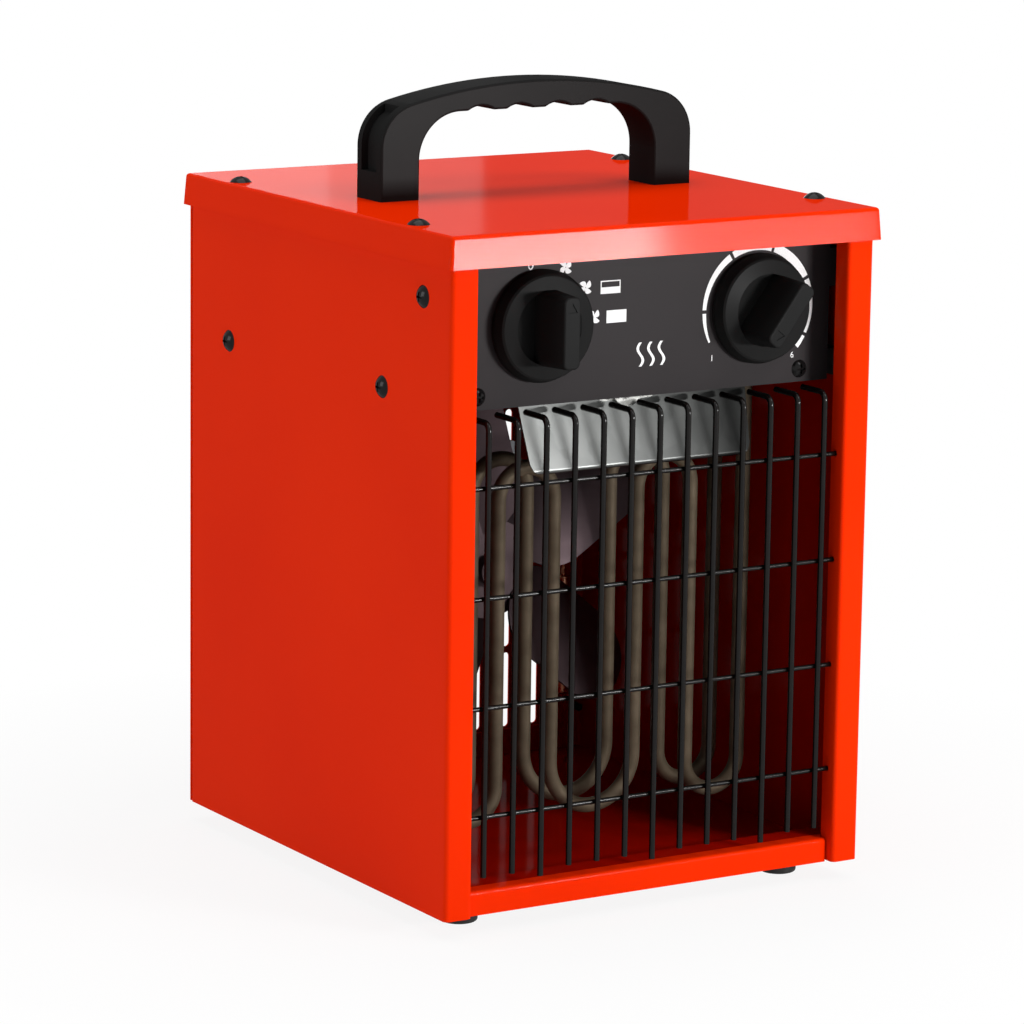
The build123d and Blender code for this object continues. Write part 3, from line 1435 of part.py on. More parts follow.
# --- Cable gland ---------------------------------------------------------------
gland_face = rear_plane(gland_x, body_depth, gland_z)
gland_tail = sheet + gland_inside
gland_spigot_length = gland_cap_height - gland_cap_lip - gland_spigot_gap
with BuildPart() as cable_gland:
    with BuildSketch(gland_face):
        RegularPolygon(gland_flats / 2, 6, major_radius=False)
    extrude(amount=gland_flange_height)
    with BuildSketch(gland_face):
        Circle(gland_thread_radius)
    extrude(amount=-gland_tail)
    with BuildSketch(gland_face):
        Circle(gland_spigot_radius)
    extrude(amount=gland_flange_height + gland_spigot_length)
    with BuildSketch(gland_face.offset(-gland_tail)):
        Circle(gland_bore)
    extrude(amount=gland_tail + gland_flange_height + gland_spigot_length, mode=Mode.SUBTRACT)
cable_gland.part.label = "cable_gland"
export_step(cable_gland.part, "parts/cable_gland.step")

with BuildPart() as gland_cap:
    with BuildSketch(gland_face.offset(gland_flange_height)):
        Circle(gland_cap_radius)
    extrude(amount=gland_cap_height)
    fillet(gland_cap.faces().sort_by(Axis.Y)[-1].edges(), radius=gland_cap_edge)
    with BuildSketch(gland_face.offset(gland_flange_height)):
        Circle(gland_spigot_radius + gland_cap_clearance)
    extrude(amount=gland_cap_height - gland_cap_lip, mode=Mode.SUBTRACT)
    with BuildSketch(gland_face.offset(gland_flange_height)):
        Circle(gland_bore)
    extrude(amount=gland_cap_height, mode=Mode.SUBTRACT)
gland_cap.part.label = "gland_cap"
export_step(gland_cap.part, "parts/gland_cap.step")

with BuildPart() as gland_nut:
    with Locations(gland_face.offset(-sheet - gland_nut_height)):
        add(hexagon_nut(gland_nut_flats, gland_nut_height, gland_thread_radius + gland_nut_clearance))
gland_nut.part.label = "gland_nut"
export_step(gland_nut.part, "parts/gland_nut.step")

# --- Leads ---------------------------------------------------------------
switch_end = panel_rear + switch_length + tab_length
thermostat_tab_end = panel_rear + thermostat_length + tab_length
pin_top = element_end + pin_length
coil_side = -coil_half_width
coil_lead_depth = stack_rear + coil_overhang / 2
backward = (0, 1, 0)
downward = (0, 0, -1)
lead_middle_depth = switch_end + (block_front - switch_end) * lead_middle
block_lead_starts = [
    (selector_x, at(switch_end), knob_z - switch_tab_radius),
    (selector_x + switch_tab_radius, at(switch_end), knob_z),
]
block_lead_routes = [
    (
        start,
        (start[0] + sway, at(lead_middle_depth), partition_top + lead_lift),
        (gland_x + way, at(block_front + lead_entry), way_z),
    )
    for start, sway, way in zip(block_lead_starts, (-lead_sway, lead_sway), coil_ways)
]
pin_lead_starts = [
    (selector_x - switch_tab_radius, at(switch_end), knob_z),
    (selector_x, at(switch_end), knob_z + switch_tab_radius),
    (thermostat_x + thermostat_tab_x, at(thermostat_tab_end), knob_z + thermostat_tab_rise),
    (thermostat_x - thermostat_tab_x, at(thermostat_tab_end), knob_z + thermostat_tab_rise),
]
pin_places = [
    (-element_leg_outer, element_rear_depth),
    (-element_leg_outer, element_front_depth),
    (element_leg_outer, element_front_depth),
    (element_leg_outer, element_rear_depth),
]
pin_lead_routes = [
    (
        start,
        (x - math.copysign(sway, x), at(depth + back), pin_top + lift),
        (x, at(depth), pin_top),
    )
    for start, (x, depth), sway, back, lift in zip(
        pin_lead_starts, pin_places, pin_lead_sways, pin_lead_backs, pin_lead_lifts
    )
]
coil_lead_routes = [
    (
        (coil_side, at(coil_lead_depth), limb_middle_z + rise),
        (coil_side - coil_lead_straight, at(coil_lead_depth), limb_middle_z + rise),
        (gland_x + way, at(lead_hole_depth), limb_middle_z + rise + coil_lead_rise),
        (gland_x + way, at(lead_hole_depth), way_z),
        (gland_x + way, at(block_rear - lead_entry), way_z),
    )
    for way, rise in zip(coil_ways, (-coil_lead_spread, coil_lead_spread))
]
with BuildPart() as leads:
    for route in block_lead_routes:
        add(soft_line(route, backward, backward, lead_radius))
    for route in pin_lead_routes:
        add(soft_line(route, backward, downward, lead_radius))
    for route in coil_lead_routes:
        add(bent_line(route, lead_bend, lead_radius))
leads.part.label = "leads"
export_step(leads.part, "parts/leads.step")
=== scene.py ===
"""Looks of a box-type forced air heater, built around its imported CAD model.

Everything is in metres, in the row frame: +Z up, the air outlet and the knobs
face -Y, X runs left to right seen from the front.
"""

import json
import math

import bmesh
import bpy
from mathutils import Matrix, Quaternion, Vector


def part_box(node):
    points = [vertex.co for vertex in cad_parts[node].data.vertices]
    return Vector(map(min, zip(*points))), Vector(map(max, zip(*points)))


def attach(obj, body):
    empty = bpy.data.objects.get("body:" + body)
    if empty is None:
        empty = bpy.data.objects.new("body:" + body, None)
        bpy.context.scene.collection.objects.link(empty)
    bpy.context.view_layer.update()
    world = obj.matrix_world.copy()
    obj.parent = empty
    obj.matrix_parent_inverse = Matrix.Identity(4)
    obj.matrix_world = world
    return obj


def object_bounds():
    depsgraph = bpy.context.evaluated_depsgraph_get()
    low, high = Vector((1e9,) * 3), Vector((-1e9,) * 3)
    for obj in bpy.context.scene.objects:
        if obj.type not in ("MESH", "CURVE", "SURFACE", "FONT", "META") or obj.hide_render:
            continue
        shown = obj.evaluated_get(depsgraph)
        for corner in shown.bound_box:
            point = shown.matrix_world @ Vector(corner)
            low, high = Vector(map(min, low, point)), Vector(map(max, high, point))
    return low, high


MM = 0.001
WHITE = (1.0, 1.0, 1.0)

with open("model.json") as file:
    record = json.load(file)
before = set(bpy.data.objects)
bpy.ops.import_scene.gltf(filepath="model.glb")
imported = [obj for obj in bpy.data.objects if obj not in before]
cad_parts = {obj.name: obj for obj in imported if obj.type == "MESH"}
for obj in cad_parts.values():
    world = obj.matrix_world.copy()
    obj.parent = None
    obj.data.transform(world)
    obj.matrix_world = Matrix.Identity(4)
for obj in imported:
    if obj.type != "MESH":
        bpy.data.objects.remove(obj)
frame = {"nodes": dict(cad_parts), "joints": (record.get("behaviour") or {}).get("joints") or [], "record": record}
nodes = frame["nodes"]
cad_low, cad_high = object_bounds()
joint_places = {joint["name"]: Vector(joint["pos_m"]) for joint in frame["joints"]}
slot_of = {part["node"]: part["material_slot"] for part in frame["record"]["subparts"]}
panel_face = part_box("control_panel")[0].y

# Box inside the casing where the enamel is darkened as painted shade: its walls run within the sheet.
HALF_SHEET = 0.5 * MM
WALL_INSET = 0.6 * MM
COLUMN_DEPTH = 12 * MM
TRAY_RISE = 1.6 * MM
rear_low, rear_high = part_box("rear_panel")
column_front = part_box("side_panel_left")[0].y
PAINTED_SHADE_LOW = (rear_low.x + WALL_INSET, column_front + COLUMN_DEPTH, rear_low.z + TRAY_RISE)
PAINTED_SHADE_HIGH = (rear_high.x - WALL_INSET, rear_low.y + HALF_SHEET, rear_high.z - HALF_SHEET)

# Sockets of the colour mix node, which share their names with its other types.
MIX_FIRST = 6
MIX_SECOND = 7
MIX_RESULT = 2

# Radians that the wave texture runs through in a metre at scale 1.
WAVE_TURN = 20


# --- Shader helpers ----------------------------------------------------------
def add_node(tree, kind, inputs=None, **settings):
    """New shader node with its settings and unlinked input values."""
    node = tree.nodes.new(kind)
    for name, value in settings.items():
        setattr(node, name, value)
    for name, value in (inputs or {}).items():
        node.inputs[name].default_value = value
    return node


def rgba(colour):
    """Colour with full opacity."""
    return (*colour, 1.0)


def coated(weight, roughness):
    """Shader inputs of a surface whose only gloss is a thin clear coat."""
    return {"specular_ior_level": 0.0, "coat_weight": weight, "coat_roughness": roughness}


class Finish:
    """Node material around one Principled shader, textured in the object's own space."""

    def __init__(self, name, colour, roughness, **inputs):
        self.material = bpy.data.materials.new(name)
        self.material.use_nodes = True
        self.material.diffuse_color = rgba(colour)
        self.tree = self.material.node_tree
        self.shader = self.tree.nodes["Principled BSDF"]
        self.shader.inputs["Base Color"].default_value = rgba(colour)
        self.shader.inputs["Roughness"].default_value = roughness
        for name, value in inputs.items():
            socket = name.replace("_", " ").title().replace("Ior", "IOR")
            self.shader.inputs[socket].default_value = value
        self.space = add_node(self.tree, "ShaderNodeTexCoord").outputs["Object"]
        self.height = None

    def join(self, source, target):
        """Link from an output to an input."""
        self.tree.links.new(source, target)

    def noise(self, size, detail=2.0, rough=0.5, stretch=(1.0, 1.0, 1.0)):
        """Noise whose patches are about size metres across."""
        scaled = add_node(self.tree, "ShaderNodeMapping", {"Scale": stretch})
        self.join(self.space, scaled.inputs["Vector"])
        inputs = {"Scale": 1 / size, "Detail": detail, "Roughness": rough}
        noise = add_node(self.tree, "ShaderNodeTexNoise", inputs)
        self.join(scaled.outputs["Vector"], noise.inputs["Vector"])
        return noise.outputs["Fac"]

    def cells(self, size):
        """Random grey for each cell of about size metres."""
        voronoi = add_node(self.tree, "ShaderNodeTexVoronoi", {"Scale": 1 / size})
        self.join(self.space, voronoi.inputs["Vector"])
        grey = add_node(self.tree, "ShaderNodeSeparateColor")
        self.join(voronoi.outputs["Color"], grey.inputs["Color"])
        return grey.outputs["Red"]

    def stripes(self, pitch, direction):
        """Even ridges across one axis, pitch metres apart."""
        scale = 2 * math.pi / (WAVE_TURN * pitch)
        wave = add_node(self.tree, "ShaderNodeTexWave", {"Scale": scale}, bands_direction=direction)
        self.join(self.space, wave.inputs["Vector"])
        return wave.outputs["Fac"]

    def within(self, low, high):
        """One inside a box in the object's own space, nothing outside it."""
        axes = add_node(self.tree, "ShaderNodeSeparateXYZ")
        self.join(self.space, axes.inputs["Vector"])
        inside = None
        for axis, limits in zip("XYZ", zip(low, high)):
            for limit, test in zip(limits, ("GREATER_THAN", "LESS_THAN")):
                side = add_node(self.tree, "ShaderNodeMath", operation=test)
                self.join(axes.outputs[axis], side.inputs[0])
                side.inputs[1].default_value = limit
                if inside is None:
                    inside = side.outputs["Value"]
                    continue
                both = add_node(self.tree, "ShaderNodeMath", operation="MULTIPLY")
                self.join(inside, both.inputs[0])
                self.join(side.outputs["Value"], both.inputs[1])
                inside = both.outputs["Value"]
        return inside

    def along(self, axis, start, stop):
        """Nothing to one along an axis of the object's own space."""
        axes = add_node(self.tree, "ShaderNodeSeparateXYZ")
        self.join(self.space, axes.inputs["Vector"])
        return self.range(axes.outputs[axis], 0.0, 1.0, start, stop)

    def recolour(self, mask, colour):
        """Base colour multiplied by another colour where the mask is one."""
        mix = add_node(self.tree, "ShaderNodeMix", data_type="RGBA", blend_type="MULTIPLY")
        self.join(mask, mix.inputs["Factor"])
        self.join(self.shader.inputs["Base Color"].links[0].from_socket, mix.inputs[MIX_FIRST])
        mix.inputs[MIX_SECOND].default_value = rgba(colour)
        self.join(mix.outputs[MIX_RESULT], self.shader.inputs["Base Color"])

    def range(self, source, low, high, start=0.3, stop=0.7):
        """Source spread over low to high."""
        inputs = {"From Min": start, "From Max": stop, "To Min": low, "To Max": high}
        spread = add_node(self.tree, "ShaderNodeMapRange", inputs)
        self.join(source, spread.inputs["Value"])
        return spread.outputs["Result"]

    def vary_colour(self, source, low, high, start=0.3, stop=0.7):
        """Base colour between two colours."""
        ramp = add_node(self.tree, "ShaderNodeValToRGB")
        ramp.color_ramp.elements[0].position = start
        ramp.color_ramp.elements[0].color = rgba(low)
        ramp.color_ramp.elements[1].position = stop
        ramp.color_ramp.elements[1].color = rgba(high)
        self.join(source, ramp.inputs["Fac"])
        self.join(ramp.outputs["Color"], self.shader.inputs["Base Color"])

    def vary_roughness(self, source, low, high):
        """Roughness between two values."""
        self.join(self.range(source, low, high), self.shader.inputs["Roughness"])

    def bump(self, source, depth, strength=1.0):
        """Relief of depth metres, on top of any relief already there."""
        bump = add_node(self.tree, "ShaderNodeBump", {"Strength": strength, "Distance": depth})
        self.join(source, bump.inputs["Height"])
        if self.height is not None:
            self.join(self.height, bump.inputs["Normal"])
        self.height = bump.outputs["Normal"]
        self.join(self.height, self.shader.inputs["Normal"])


# --- Finishes ----------------------------------------------------------------
def red_paint():
    """Glossy red-orange enamel with a faint orange peel, darkened inside the casing as painted shade."""
    finish = Finish("red_paint", (0.8, 0.023, 0.0), 0.4, **coated(0.065, 0.09))
    finish.vary_colour(finish.noise(0.12), (0.78, 0.021, 0.0), (0.82, 0.025, 0.0))
    # Painted shade: the enamel inside the casing is multiplied darker, standing in for the dim light there.
    finish.recolour(finish.within(PAINTED_SHADE_LOW, PAINTED_SHADE_HIGH), (0.42, 0.14, 0.14))
    finish.vary_roughness(finish.noise(0.03, detail=4.0), 0.35, 0.45)
    finish.bump(finish.noise(1.4 * MM, detail=1.0), 0.012 * MM)
    return finish


def grey_paint():
    """Dark grey satin paint of the control panel, with its fine texture."""
    finish = Finish("grey_paint", (0.024, 0.021, 0.022), 0.42, **coated(0.08, 0.35))
    finish.vary_colour(finish.noise(0.05), (0.0225, 0.0195, 0.0205), (0.0255, 0.022, 0.023))
    finish.vary_roughness(finish.noise(0.01, detail=4.0), 0.4, 0.52)
    finish.bump(finish.noise(0.4 * MM), 0.01 * MM)
    return finish


def galvanised():
    """Zinc-coated sheet with its faint spangle, darkened toward the right as painted shade."""
    finish = Finish("galvanised", (0.18, 0.185, 0.18), 0.36, metallic=1.0)
    cells = finish.cells(7 * MM)
    finish.vary_colour(cells, (0.175, 0.18, 0.175), (0.19, 0.195, 0.19), start=0.0, stop=1.0)
    # Painted shade: the sheet is multiplied darker toward the right.
    finish.recolour(finish.along("X", -0.06, 0.045), (0.07, 0.07, 0.07))
    finish.vary_roughness(cells, 0.34, 0.38)
    finish.bump(finish.noise(14 * MM, detail=1.0), 0.03 * MM)
    return finish


def black_plastic():
    """Moulded black plastic with a fine spark-eroded grain."""
    finish = Finish("black_plastic", (0.0125, 0.0125, 0.0125), 0.44, **coated(0.035, 0.3))
    finish.vary_colour(finish.noise(0.02), (0.0118, 0.0118, 0.0118), (0.0132, 0.0131, 0.013))
    finish.vary_roughness(finish.noise(4 * MM, detail=4.0), 0.42, 0.5)
    finish.bump(finish.noise(0.35 * MM, detail=3.0), 0.012 * MM)
    return finish


def moulding():
    """Cream heat-proof moulding compound with mineral specks."""
    finish = Finish("moulding", (0.68, 0.64, 0.55), 0.55)
    finish.vary_colour(finish.noise(0.6 * MM, detail=4.0), (0.6, 0.56, 0.47), (0.72, 0.68, 0.6))
    finish.bump(finish.noise(0.5 * MM), 0.01 * MM)
    return finish


def black_screw():
    """Black-oxide screw steel with a light oil shine."""
    finish = Finish("black_screw", (0.006, 0.0056, 0.0056), 0.3, **coated(0.3, 0.12))
    finish.vary_roughness(finish.noise(1 * MM, detail=3.0), 0.25, 0.4)
    finish.bump(finish.noise(0.5 * MM), 0.008 * MM)
    return finish


def zinc():
    """Bright zinc plate, slightly clouded."""
    finish = Finish("zinc", (0.44, 0.44, 0.42), 0.26, metallic=1.0)
    finish.vary_colour(finish.noise(3 * MM, detail=4.0), (0.38, 0.38, 0.36), (0.5, 0.5, 0.48))
    finish.vary_roughness(finish.noise(2 * MM, detail=3.0), 0.2, 0.36)
    return finish


def grille_steel():
    """Dark coated wire."""
    finish = Finish("grille_steel", (0.005, 0.0043, 0.004), 0.4, **coated(0.35, 0.15))
    finish.vary_colour(finish.noise(8 * MM, detail=4.0), (0.004, 0.0034, 0.003), (0.006, 0.0052, 0.0048))
    finish.vary_roughness(finish.noise(2 * MM, detail=3.0), 0.24, 0.4)
    finish.bump(finish.noise(0.6 * MM), 0.01 * MM)
    return finish


def element_tube():
    """Oxidised element sheath, matt grey-brown with heat mottling."""
    finish = Finish("element_tube", (0.1, 0.077, 0.052), 0.5, metallic=0.3, specular_ior_level=0.12)
    finish.vary_colour(finish.noise(14 * MM, detail=5.0), (0.07, 0.053, 0.034), (0.12, 0.093, 0.063))
    finish.vary_roughness(finish.noise(3 * MM, detail=4.0), 0.5, 0.7)
    finish.bump(finish.noise(0.4 * MM, detail=3.0), 0.015 * MM)
    return finish


def fan_alloy():
    """Rolled aluminium sheet, its fine grain running along X; its dark mauve colour is painted shade and a painted
    reflection of the red interior.
    """
    # Painted shade and painted reflection: a dark mauve base colour stands in for the dim red interior the blade
    # reflects.
    finish = Finish("fan_alloy", (0.1, 0.072, 0.078), 0.45, metallic=1.0)
    grain = finish.noise(1.2 * MM, detail=3.0, stretch=(0.05, 1.0, 1.0))
    finish.vary_roughness(grain, 0.42, 0.5)
    finish.bump(finish.noise(1.2 * MM), 0.002 * MM)
    return finish


def lamination():
    """Edges of stacked electrical sheet."""
    finish = Finish("lamination", (0.3, 0.31, 0.33), 0.5, metallic=0.8)
    stack = finish.stripes(0.5 * MM, "Y")
    finish.vary_colour(stack, (0.12, 0.12, 0.13), (0.34, 0.35, 0.37), start=0.1, stop=0.5)
    finish.bump(stack, 0.05 * MM)
    return finish


def winding():
    """Varnished wire, turn beside turn, darkened as painted shade deep inside the casing."""
    # Painted shade: the winding's colour is kept near black-red, standing in for the dim light inside the casing.
    finish = Finish("winding", (0.12, 0.03, 0.014), 0.4, coat_weight=0.1, coat_roughness=0.2)
    turns = finish.stripes(0.6 * MM, "X")
    finish.vary_colour(turns, (0.04, 0.01, 0.005), (0.14, 0.036, 0.016), start=0.1, stop=0.6)
    finish.bump(turns, 0.15 * MM)
    return finish


def foot_rubber():
    """Matt black rubber."""
    finish = Finish("foot_rubber", (0.016, 0.016, 0.016), 0.7, specular_ior_level=0.3)
    finish.vary_roughness(finish.noise(3 * MM, detail=4.0), 0.62, 0.8)
    finish.bump(finish.noise(0.5 * MM, detail=3.0), 0.03 * MM)
    return finish


def lead_sheath():
    """Woven glass sleeve on the internal leads."""
    finish = Finish("lead_sheath", (0.06, 0.06, 0.06), 0.6)
    finish.vary_colour(finish.noise(0.6 * MM, detail=2.0), (0.035, 0.035, 0.035), (0.08, 0.08, 0.08))
    finish.bump(finish.noise(0.4 * MM), 0.05 * MM)
    return finish


def copper():
    """Drawn copper, slightly browned."""
    finish = Finish("copper", (0.72, 0.36, 0.2), 0.3, metallic=1.0)
    finish.vary_colour(finish.noise(6 * MM, detail=4.0), (0.5, 0.22, 0.12), (0.76, 0.4, 0.24))
    finish.vary_roughness(finish.noise(3 * MM, detail=3.0), 0.22, 0.42)
    return finish


def white_ink():
    """Screen-printed white ink, slightly uneven in its cover."""
    finish = Finish("white_ink", (0.82, 0.82, 0.82), 0.5, specular_ior_level=0.3)
    finish.vary_colour(finish.noise(0.5 * MM, detail=3.0), (0.76, 0.76, 0.76), (0.86, 0.86, 0.86))
    return finish


finishes = {
    maker.__name__: maker().material
    for maker in (
        red_paint,
        grey_paint,
        galvanised,
        black_plastic,
        moulding,
        black_screw,
        zinc,
        grille_steel,
        element_tube,
        fan_alloy,
        lamination,
        winding,
        foot_rubber,
        lead_sheath,
        copper,
    )
}
for node_name, node in nodes.items():
    for material_slot in node.material_slots:
        material_slot.material = finishes[slot_of[node_name]]

# --- Printing on the control panel -------------------------------------------
INK_RISE = 0.06 * MM
INK_SINK = 0.02 * MM
selector = joint_places["selector_turn"]
thermostat = joint_places["thermostat_turn"]
white = white_ink().material


def printed(name, outlines):
    """Thin layer of ink on the panel, from outlines of (x, z) points in metres."""
    ink = bmesh.new()
    for outline in outlines:
        corners = [ink.verts.new((x, panel_face + INK_SINK, z)) for x, z in outline]
        ink.faces.new(corners)
    raised = bmesh.ops.extrude_face_region(ink, geom=ink.faces[:])
    moved = [item for item in raised["geom"] if isinstance(item, bmesh.types.BMVert)]
    bmesh.ops.translate(ink, verts=moved, vec=(0, -(INK_RISE + INK_SINK), 0))
    bmesh.ops.recalc_face_normals(ink, faces=ink.faces[:])
    bmesh.ops.triangulate(ink, faces=ink.faces[:])
    mesh = bpy.data.meshes.new(name)
    ink.to_mesh(mesh)
    ink.free()
    mesh.materials.append(white)
    piece = bpy.data.objects.new(name, mesh)
    bpy.context.scene.collection.objects.link(piece)
    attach(piece, "chassis")


def rectangle(left, low, right, high):
    """Corners of a rectangle on the panel."""
    return [(left, low), (right, low), (right, high), (left, high)]


def arc_band(centre, start, stop, inner, outer, steps=24):
    """Part of a ring, as four-sided patches. Its inner radius depends on the share of the way
    from start to stop. Angles run clockwise from the top, in degrees."""
    x, z = centre
    patches = []
    for step in range(steps):
        low = step / steps
        high = (step + 1) / steps
        patch = []
        for share, reach in ((low, inner(low)), (low, outer), (high, outer), (high, inner(high))):
            angle = math.radians(start + (stop - start) * share)
            patch.append((x + reach * math.sin(angle), z + reach * math.cos(angle)))
        patches.append(patch)
    return patches


def fan_mark(x, z, radius):
    """Four-bladed fan sign. Each blade runs out along one edge and back along the fuller one."""
    blades = 4
    steps = 8
    first_turn = math.radians(24)
    root = 0.1
    lead_swell = 0.16
    trail_swell = 0.62
    trail_ease = 0.8
    blade_curl = 0.5
    outlines = []
    for blade in range(blades):
        turn = first_turn + 2 * math.pi * blade / blades
        edge = []
        for step in range(steps + 1):
            share = step / steps
            edge.append((share, root + lead_swell * math.sin(math.pi * share)))
        for step in range(steps):
            share = 1 - step / steps
            edge.append((share, -root - trail_swell * math.sin(math.pi * share**trail_ease) * share))
        placed = []
        for along, across in edge:
            curl = turn + blade_curl * along
            placed.append(
                (
                    x + radius * (along * math.cos(curl) - across * math.sin(curl)),
                    z + radius * (along * math.sin(curl) + across * math.cos(curl)),
                )
            )
        outlines.append(placed)
    return outlines


def box_mark(left, low, width, height, filled):
    """Outlined box, its lower part filled."""
    line = 0.45 * MM
    right = left + width
    high = low + height
    level = low + height * filled
    marks = [rectangle(left, low, right, level)]
    if filled < 1:
        marks.append(rectangle(left, level, left + line, high - line))
        marks.append(rectangle(right - line, level, right, high - line))
        marks.append(rectangle(left, high - line, right, high))
    return marks


def zero_mark(x, z, half_width, half_height, line):
    """Upright oval ring."""
    steps = 24
    marks = []
    for step in range(steps):
        patch = []
        for angle, inset in ((step, line), (step, 0), (step + 1, 0), (step + 1, line)):
            turn = 2 * math.pi * angle / steps
            reach_x = half_width - inset
            reach_z = half_height - inset
            patch.append((x + reach_x * math.cos(turn), z + reach_z * math.sin(turn)))
        marks.append(patch)
    return marks


def wavy_mark(x, z, height, line):
    """Rising wave, the common sign for heat."""
    steps = 20
    sway = 0.13 * height
    marks = []
    for step in range(steps):
        low = step / steps
        high = (step + 1) / steps
        patch = []
        for share, side in ((low, -1), (low, 1), (high, 1), (high, -1)):
            middle = x + sway * math.sin(2 * math.pi * share)
            patch.append((middle + side * line / 2, z + height * (share - 0.5)))
        marks.append(patch)
    return marks


def numeral(name, text, x, z, height):
    """Plain dial number, cut from Blender's own lettering."""
    digit_share = 0.72
    lettering = bpy.data.curves.new(name, "FONT")
    lettering.body = text
    lettering.size = height / digit_share
    lettering.align_x = "CENTER"
    lettering.align_y = "CENTER"
    lettering.extrude = (INK_RISE + INK_SINK) / 2
    maker = bpy.data.objects.new(name + "_lettering", lettering)
    bpy.context.scene.collection.objects.link(maker)
    bpy.context.view_layer.update()
    mesh = bpy.data.meshes.new_from_object(maker.evaluated_get(bpy.context.evaluated_depsgraph_get()))
    bpy.data.objects.remove(maker)
    upright = Matrix.Rotation(math.pi / 2, 4, "X")
    mesh.transform(Matrix.Translation((x, panel_face - INK_RISE / 2, z)) @ upright)
    mesh.materials.clear()
    mesh.materials.append(white)
    piece = bpy.data.objects.new(name, mesh)
    bpy.context.scene.collection.objects.link(piece)
    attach(piece, "chassis")


def beside(axis, x, z):
    """Place on the panel, in millimetres from a knob's axis."""
    return axis.x + x * MM, axis.z + z * MM


FAN_RADIUS = 3.3 * MM
BOX_WIDTH = 9.6 * MM
NUMERAL_HEIGHT = 2.6 * MM
fan_places = {"cool": (12.0, 23.0), "half": (21.7, 14.1), "full": (25.9, 1.7)}
off_ring = {"half_width": 1.3 * MM, "half_height": 1.9 * MM, "line": 0.55 * MM}
printed("mark_off", zero_mark(*beside(selector, -4.7, 24.9), **off_ring))
for label, fan_place in fan_places.items():
    printed(f"mark_fan_{label}", fan_mark(*beside(selector, *fan_place), FAN_RADIUS))
printed("mark_heat_half", box_mark(*beside(selector, 29.0, 10.9), BOX_WIDTH, 5.4 * MM, filled=0.5))
printed("mark_heat_full", box_mark(*beside(selector, 32.1, -1.3), BOX_WIDTH, 5.2 * MM, filled=1.0))

# Ring of the thermostat's dial. Angles run clockwise from the top, in degrees.
# It grows from thin at its start to thick at RING_FULL.
RING_OUTER = 27.7 * MM
RING_THIN = 0.8 * MM
RING_THICK = 3.9 * MM
RING_START = -120.0
RING_FULL = 40.0
RING_STOP = 133.0
RING_GAP = 1.6
RING_EASE = 0.7
RING_STOPS = (RING_START, -90.0, -30.8, 16.0, 65.2, 118.0, RING_STOP)


def ring_stretch(start, stop):
    """Stretch of the dial's ring between two gaps. The ring grows thicker clockwise."""

    def inner(share):
        angle = start + (stop - start) * share
        growth = min((angle - RING_START) / (RING_FULL - RING_START), 1.0) ** RING_EASE
        return RING_OUTER - RING_THIN - (RING_THICK - RING_THIN) * growth

    return arc_band(beside(thermostat, 0, 0), start + RING_GAP, stop - RING_GAP, inner, RING_OUTER)


ring = []
for start, stop in zip(RING_STOPS, RING_STOPS[1:]):
    ring += ring_stretch(start, stop)
printed("mark_dial", ring)
numeral("mark_dial_low", "1", *beside(thermostat, -22.6, -19.7), NUMERAL_HEIGHT)
numeral("mark_dial_high", "6", *beside(thermostat, 17.9, -21.2), NUMERAL_HEIGHT)

HEAT_PITCH = 5.2 * MM
HEAT_MIDDLE = 4.3 * MM
HEAT_DROP = 15.5 * MM
heat_waves = []
for place in (-1, 0, 1):
    wave_x = HEAT_MIDDLE + place * HEAT_PITCH
    heat_waves += wavy_mark(wave_x, thermostat.z - HEAT_DROP, height=10.0 * MM, line=1.3 * MM)
printed("mark_heat", heat_waves)


# --- Floor, backdrop and light -----------------------------------------------
def background_rays(tree):
    """One for the rays that show the background: camera, glossy and transmission rays."""
    path = add_node(tree, "ShaderNodeLightPath")
    seen = path.outputs["Is Camera Ray"]
    for name in ("Is Glossy Ray", "Is Transmission Ray"):
        either = add_node(tree, "ShaderNodeMath", operation="MAXIMUM")
        tree.links.new(seen, either.inputs[0])
        tree.links.new(path.outputs[name], either.inputs[1])
        seen = either.outputs["Value"]
    return seen


def make_world(ambient):
    """White to the eye and in reflections, plain soft light elsewhere."""
    world = bpy.data.worlds.new("studio")
    bpy.context.scene.world = world
    world.use_nodes = True
    tree = world.node_tree
    tree.nodes.clear()
    light = add_node(tree, "ShaderNodeBackground", {"Color": rgba(WHITE), "Strength": ambient})
    white_wall = add_node(tree, "ShaderNodeBackground", {"Color": rgba(WHITE), "Strength": 1.0})
    mix = add_node(tree, "ShaderNodeMixShader")
    output = add_node(tree, "ShaderNodeOutputWorld")
    tree.links.new(background_rays(tree), mix.inputs["Fac"])
    tree.links.new(light.outputs["Background"], mix.inputs[1])
    tree.links.new(white_wall.outputs["Background"], mix.inputs[2])
    tree.links.new(mix.outputs["Shader"], output.inputs["Surface"])


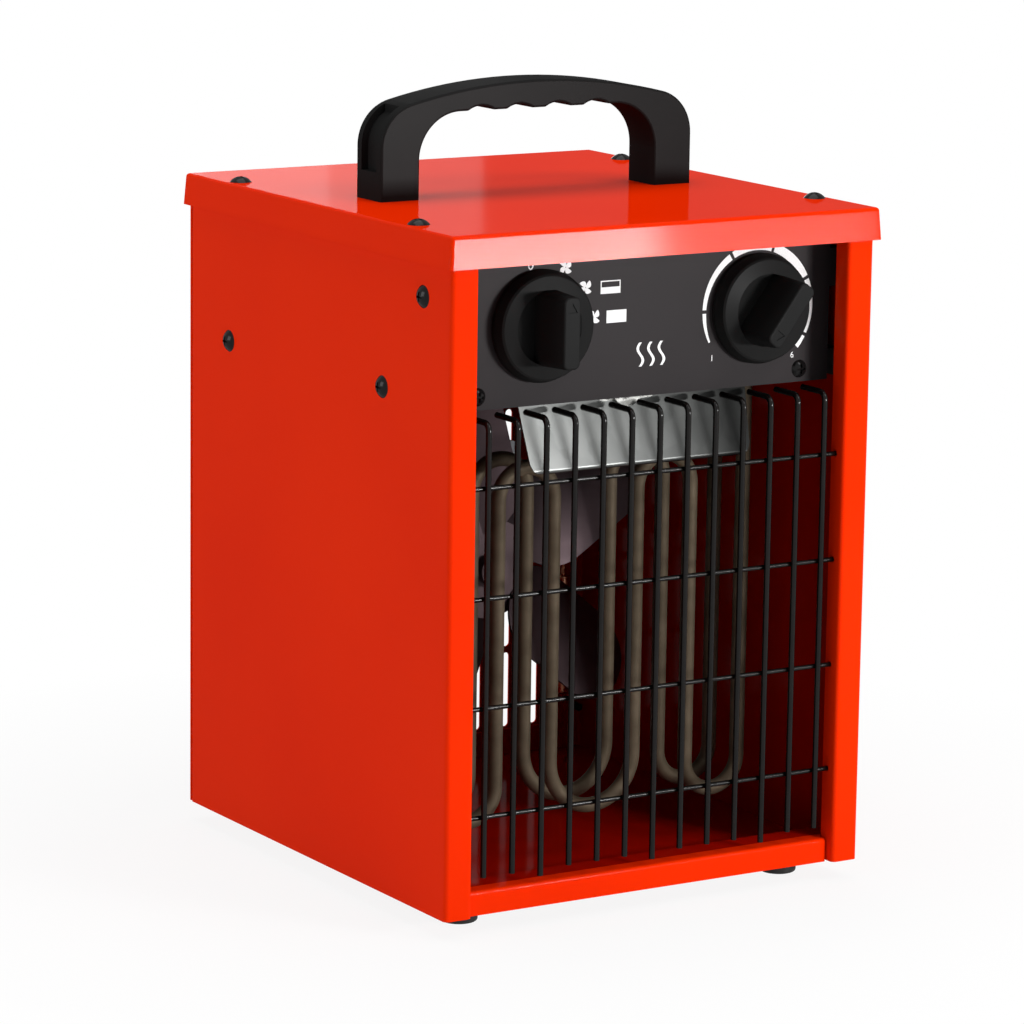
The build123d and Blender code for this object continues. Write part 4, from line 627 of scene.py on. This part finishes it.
def make_floor(half_size, glow, near, far):
    """Pale floor that keeps the object's shadow near it and is plain white farther off."""
    mesh = bpy.data.meshes.new("floor")
    corners = [(x * half_size, y * half_size, 0.0) for x, y in ((-1, -1), (1, -1), (1, 1), (-1, 1))]
    mesh.from_pydata(corners, [], [(0, 1, 2, 3)])
    floor = bpy.data.objects.new("floor", mesh)
    bpy.context.scene.collection.objects.link(floor)
    material = bpy.data.materials.new("floor")
    material.use_nodes = True
    tree = material.node_tree
    tree.nodes.clear()
    matt = add_node(tree, "ShaderNodeBsdfDiffuse", {"Color": rgba((0.82, 0.82, 0.82))})
    shine = add_node(tree, "ShaderNodeEmission", {"Color": rgba(WHITE), "Strength": 1.0})
    place = add_node(tree, "ShaderNodeTexCoord")
    reach = add_node(tree, "ShaderNodeVectorMath", operation="LENGTH")
    tree.links.new(place.outputs["Object"], reach.inputs[0])
    limits = {"From Min": near, "From Max": far, "To Min": glow, "To Max": 1.0}
    spread = add_node(tree, "ShaderNodeMapRange", limits)
    tree.links.new(reach.outputs["Value"], spread.inputs["Value"])
    share = add_node(tree, "ShaderNodeMath", operation="MULTIPLY")
    tree.links.new(background_rays(tree), share.inputs[0])
    tree.links.new(spread.outputs["Result"], share.inputs[1])
    mix = add_node(tree, "ShaderNodeMixShader")
    output = add_node(tree, "ShaderNodeOutputMaterial")
    tree.links.new(share.outputs["Value"], mix.inputs["Fac"])
    tree.links.new(matt.outputs["BSDF"], mix.inputs[1])
    tree.links.new(shine.outputs["Emission"], mix.inputs[2])
    tree.links.new(mix.outputs["Shader"], output.inputs["Surface"])
    mesh.materials.append(material)


def soft_light(name, place, aim, size, power):
    """Rectangular soft light at place, turned to aim. Its size is width and height."""
    light = bpy.data.lights.new(name, "AREA")
    light.shape = "RECTANGLE"
    light.size, light.size_y = size
    light.energy = power
    lamp = bpy.data.objects.new(name, light)
    lamp.location = place
    lamp.rotation_mode = "QUATERNION"
    lamp.rotation_quaternion = (Vector(aim) - Vector(place)).to_track_quat("-Z", "Y")
    bpy.context.scene.collection.objects.link(lamp)


make_world(ambient=0.22)
make_floor(half_size=12.0, glow=0.88, near=0.18, far=0.38)
middle = (cad_low + cad_high) / 2
soft_light("key_front_right", (0.6, -1.1, 1.5), middle, size=(0.7, 0.6), power=7.0)
soft_light("top", (0.0, 0.1, 1.7), middle, size=(1.2, 1.2), power=12.5)
soft_light("left", (-1.6, 0.2, 0.7), middle, size=(0.8, 0.8), power=8.5)

# Two strips shine back from the lid's front edge, bright on the left and fainter on the right.
soft_light("strip_near", (0.385, -0.88, 0.245), (-0.08, -0.12, 0.28), size=(0.17, 0.06), power=5.6)
soft_light("strip_far", (0.55, -0.88, 0.245), (0.06, -0.12, 0.28), size=(0.16, 0.06), power=1.2)

# Panes behind one another, each wider than the last, shine back from the left of the lid.
# They begin at about the same left edge, so the shine fades toward the right.
PANE_LEFT = 0.4
PANE_BACK = 1.25
PANE_LEVEL = 0.52
PANE_HEIGHT = 0.24
PANE_SPACING = 0.01
PANE_POWER = 1.6  # watts for each metre of width
PANE_WIDTHS = (0.1, 0.2, 0.27, 0.33)
lid_left = (-0.1, 0.0, 0.3)
for step, width in enumerate(PANE_WIDTHS):
    place = (PANE_LEFT + width / 2, PANE_BACK + PANE_SPACING * step, PANE_LEVEL)
    power = PANE_POWER * width
    soft_light(f"behind_right_{step}", place, lid_left, size=(width, PANE_HEIGHT), power=power)


# --- Camera ------------------------------------------------------------------
def make_camera():
    """Camera at the photograph's place, solved from the heater's straight edges."""
    azimuth = math.radians(-31.59)
    elevation = math.radians(11.15)
    roll = math.radians(0.80)
    distance = 2016.1 * MM
    target = Vector((-4.58 * MM, -5.85 * MM, 150.12 * MM))
    back = Vector(
        (
            math.sin(azimuth) * math.cos(elevation),
            -math.cos(azimuth) * math.cos(elevation),
            math.sin(elevation),
        )
    )
    camera = bpy.data.cameras.new("camera")
    camera.sensor_width = 36.0
    camera.lens = 164.5
    camera.clip_start = 0.1
    camera.clip_end = 60.0
    holder = bpy.data.objects.new("camera", camera)
    holder.location = target + back * distance
    holder.rotation_mode = "QUATERNION"
    holder.rotation_quaternion = (-back).to_track_quat("-Z", "Y") @ Quaternion((0, 0, 1), roll)
    bpy.context.scene.collection.objects.link(holder)
    bpy.context.scene.camera = holder


make_camera()
bpy.context.scene.view_settings.view_transform = "Standard"
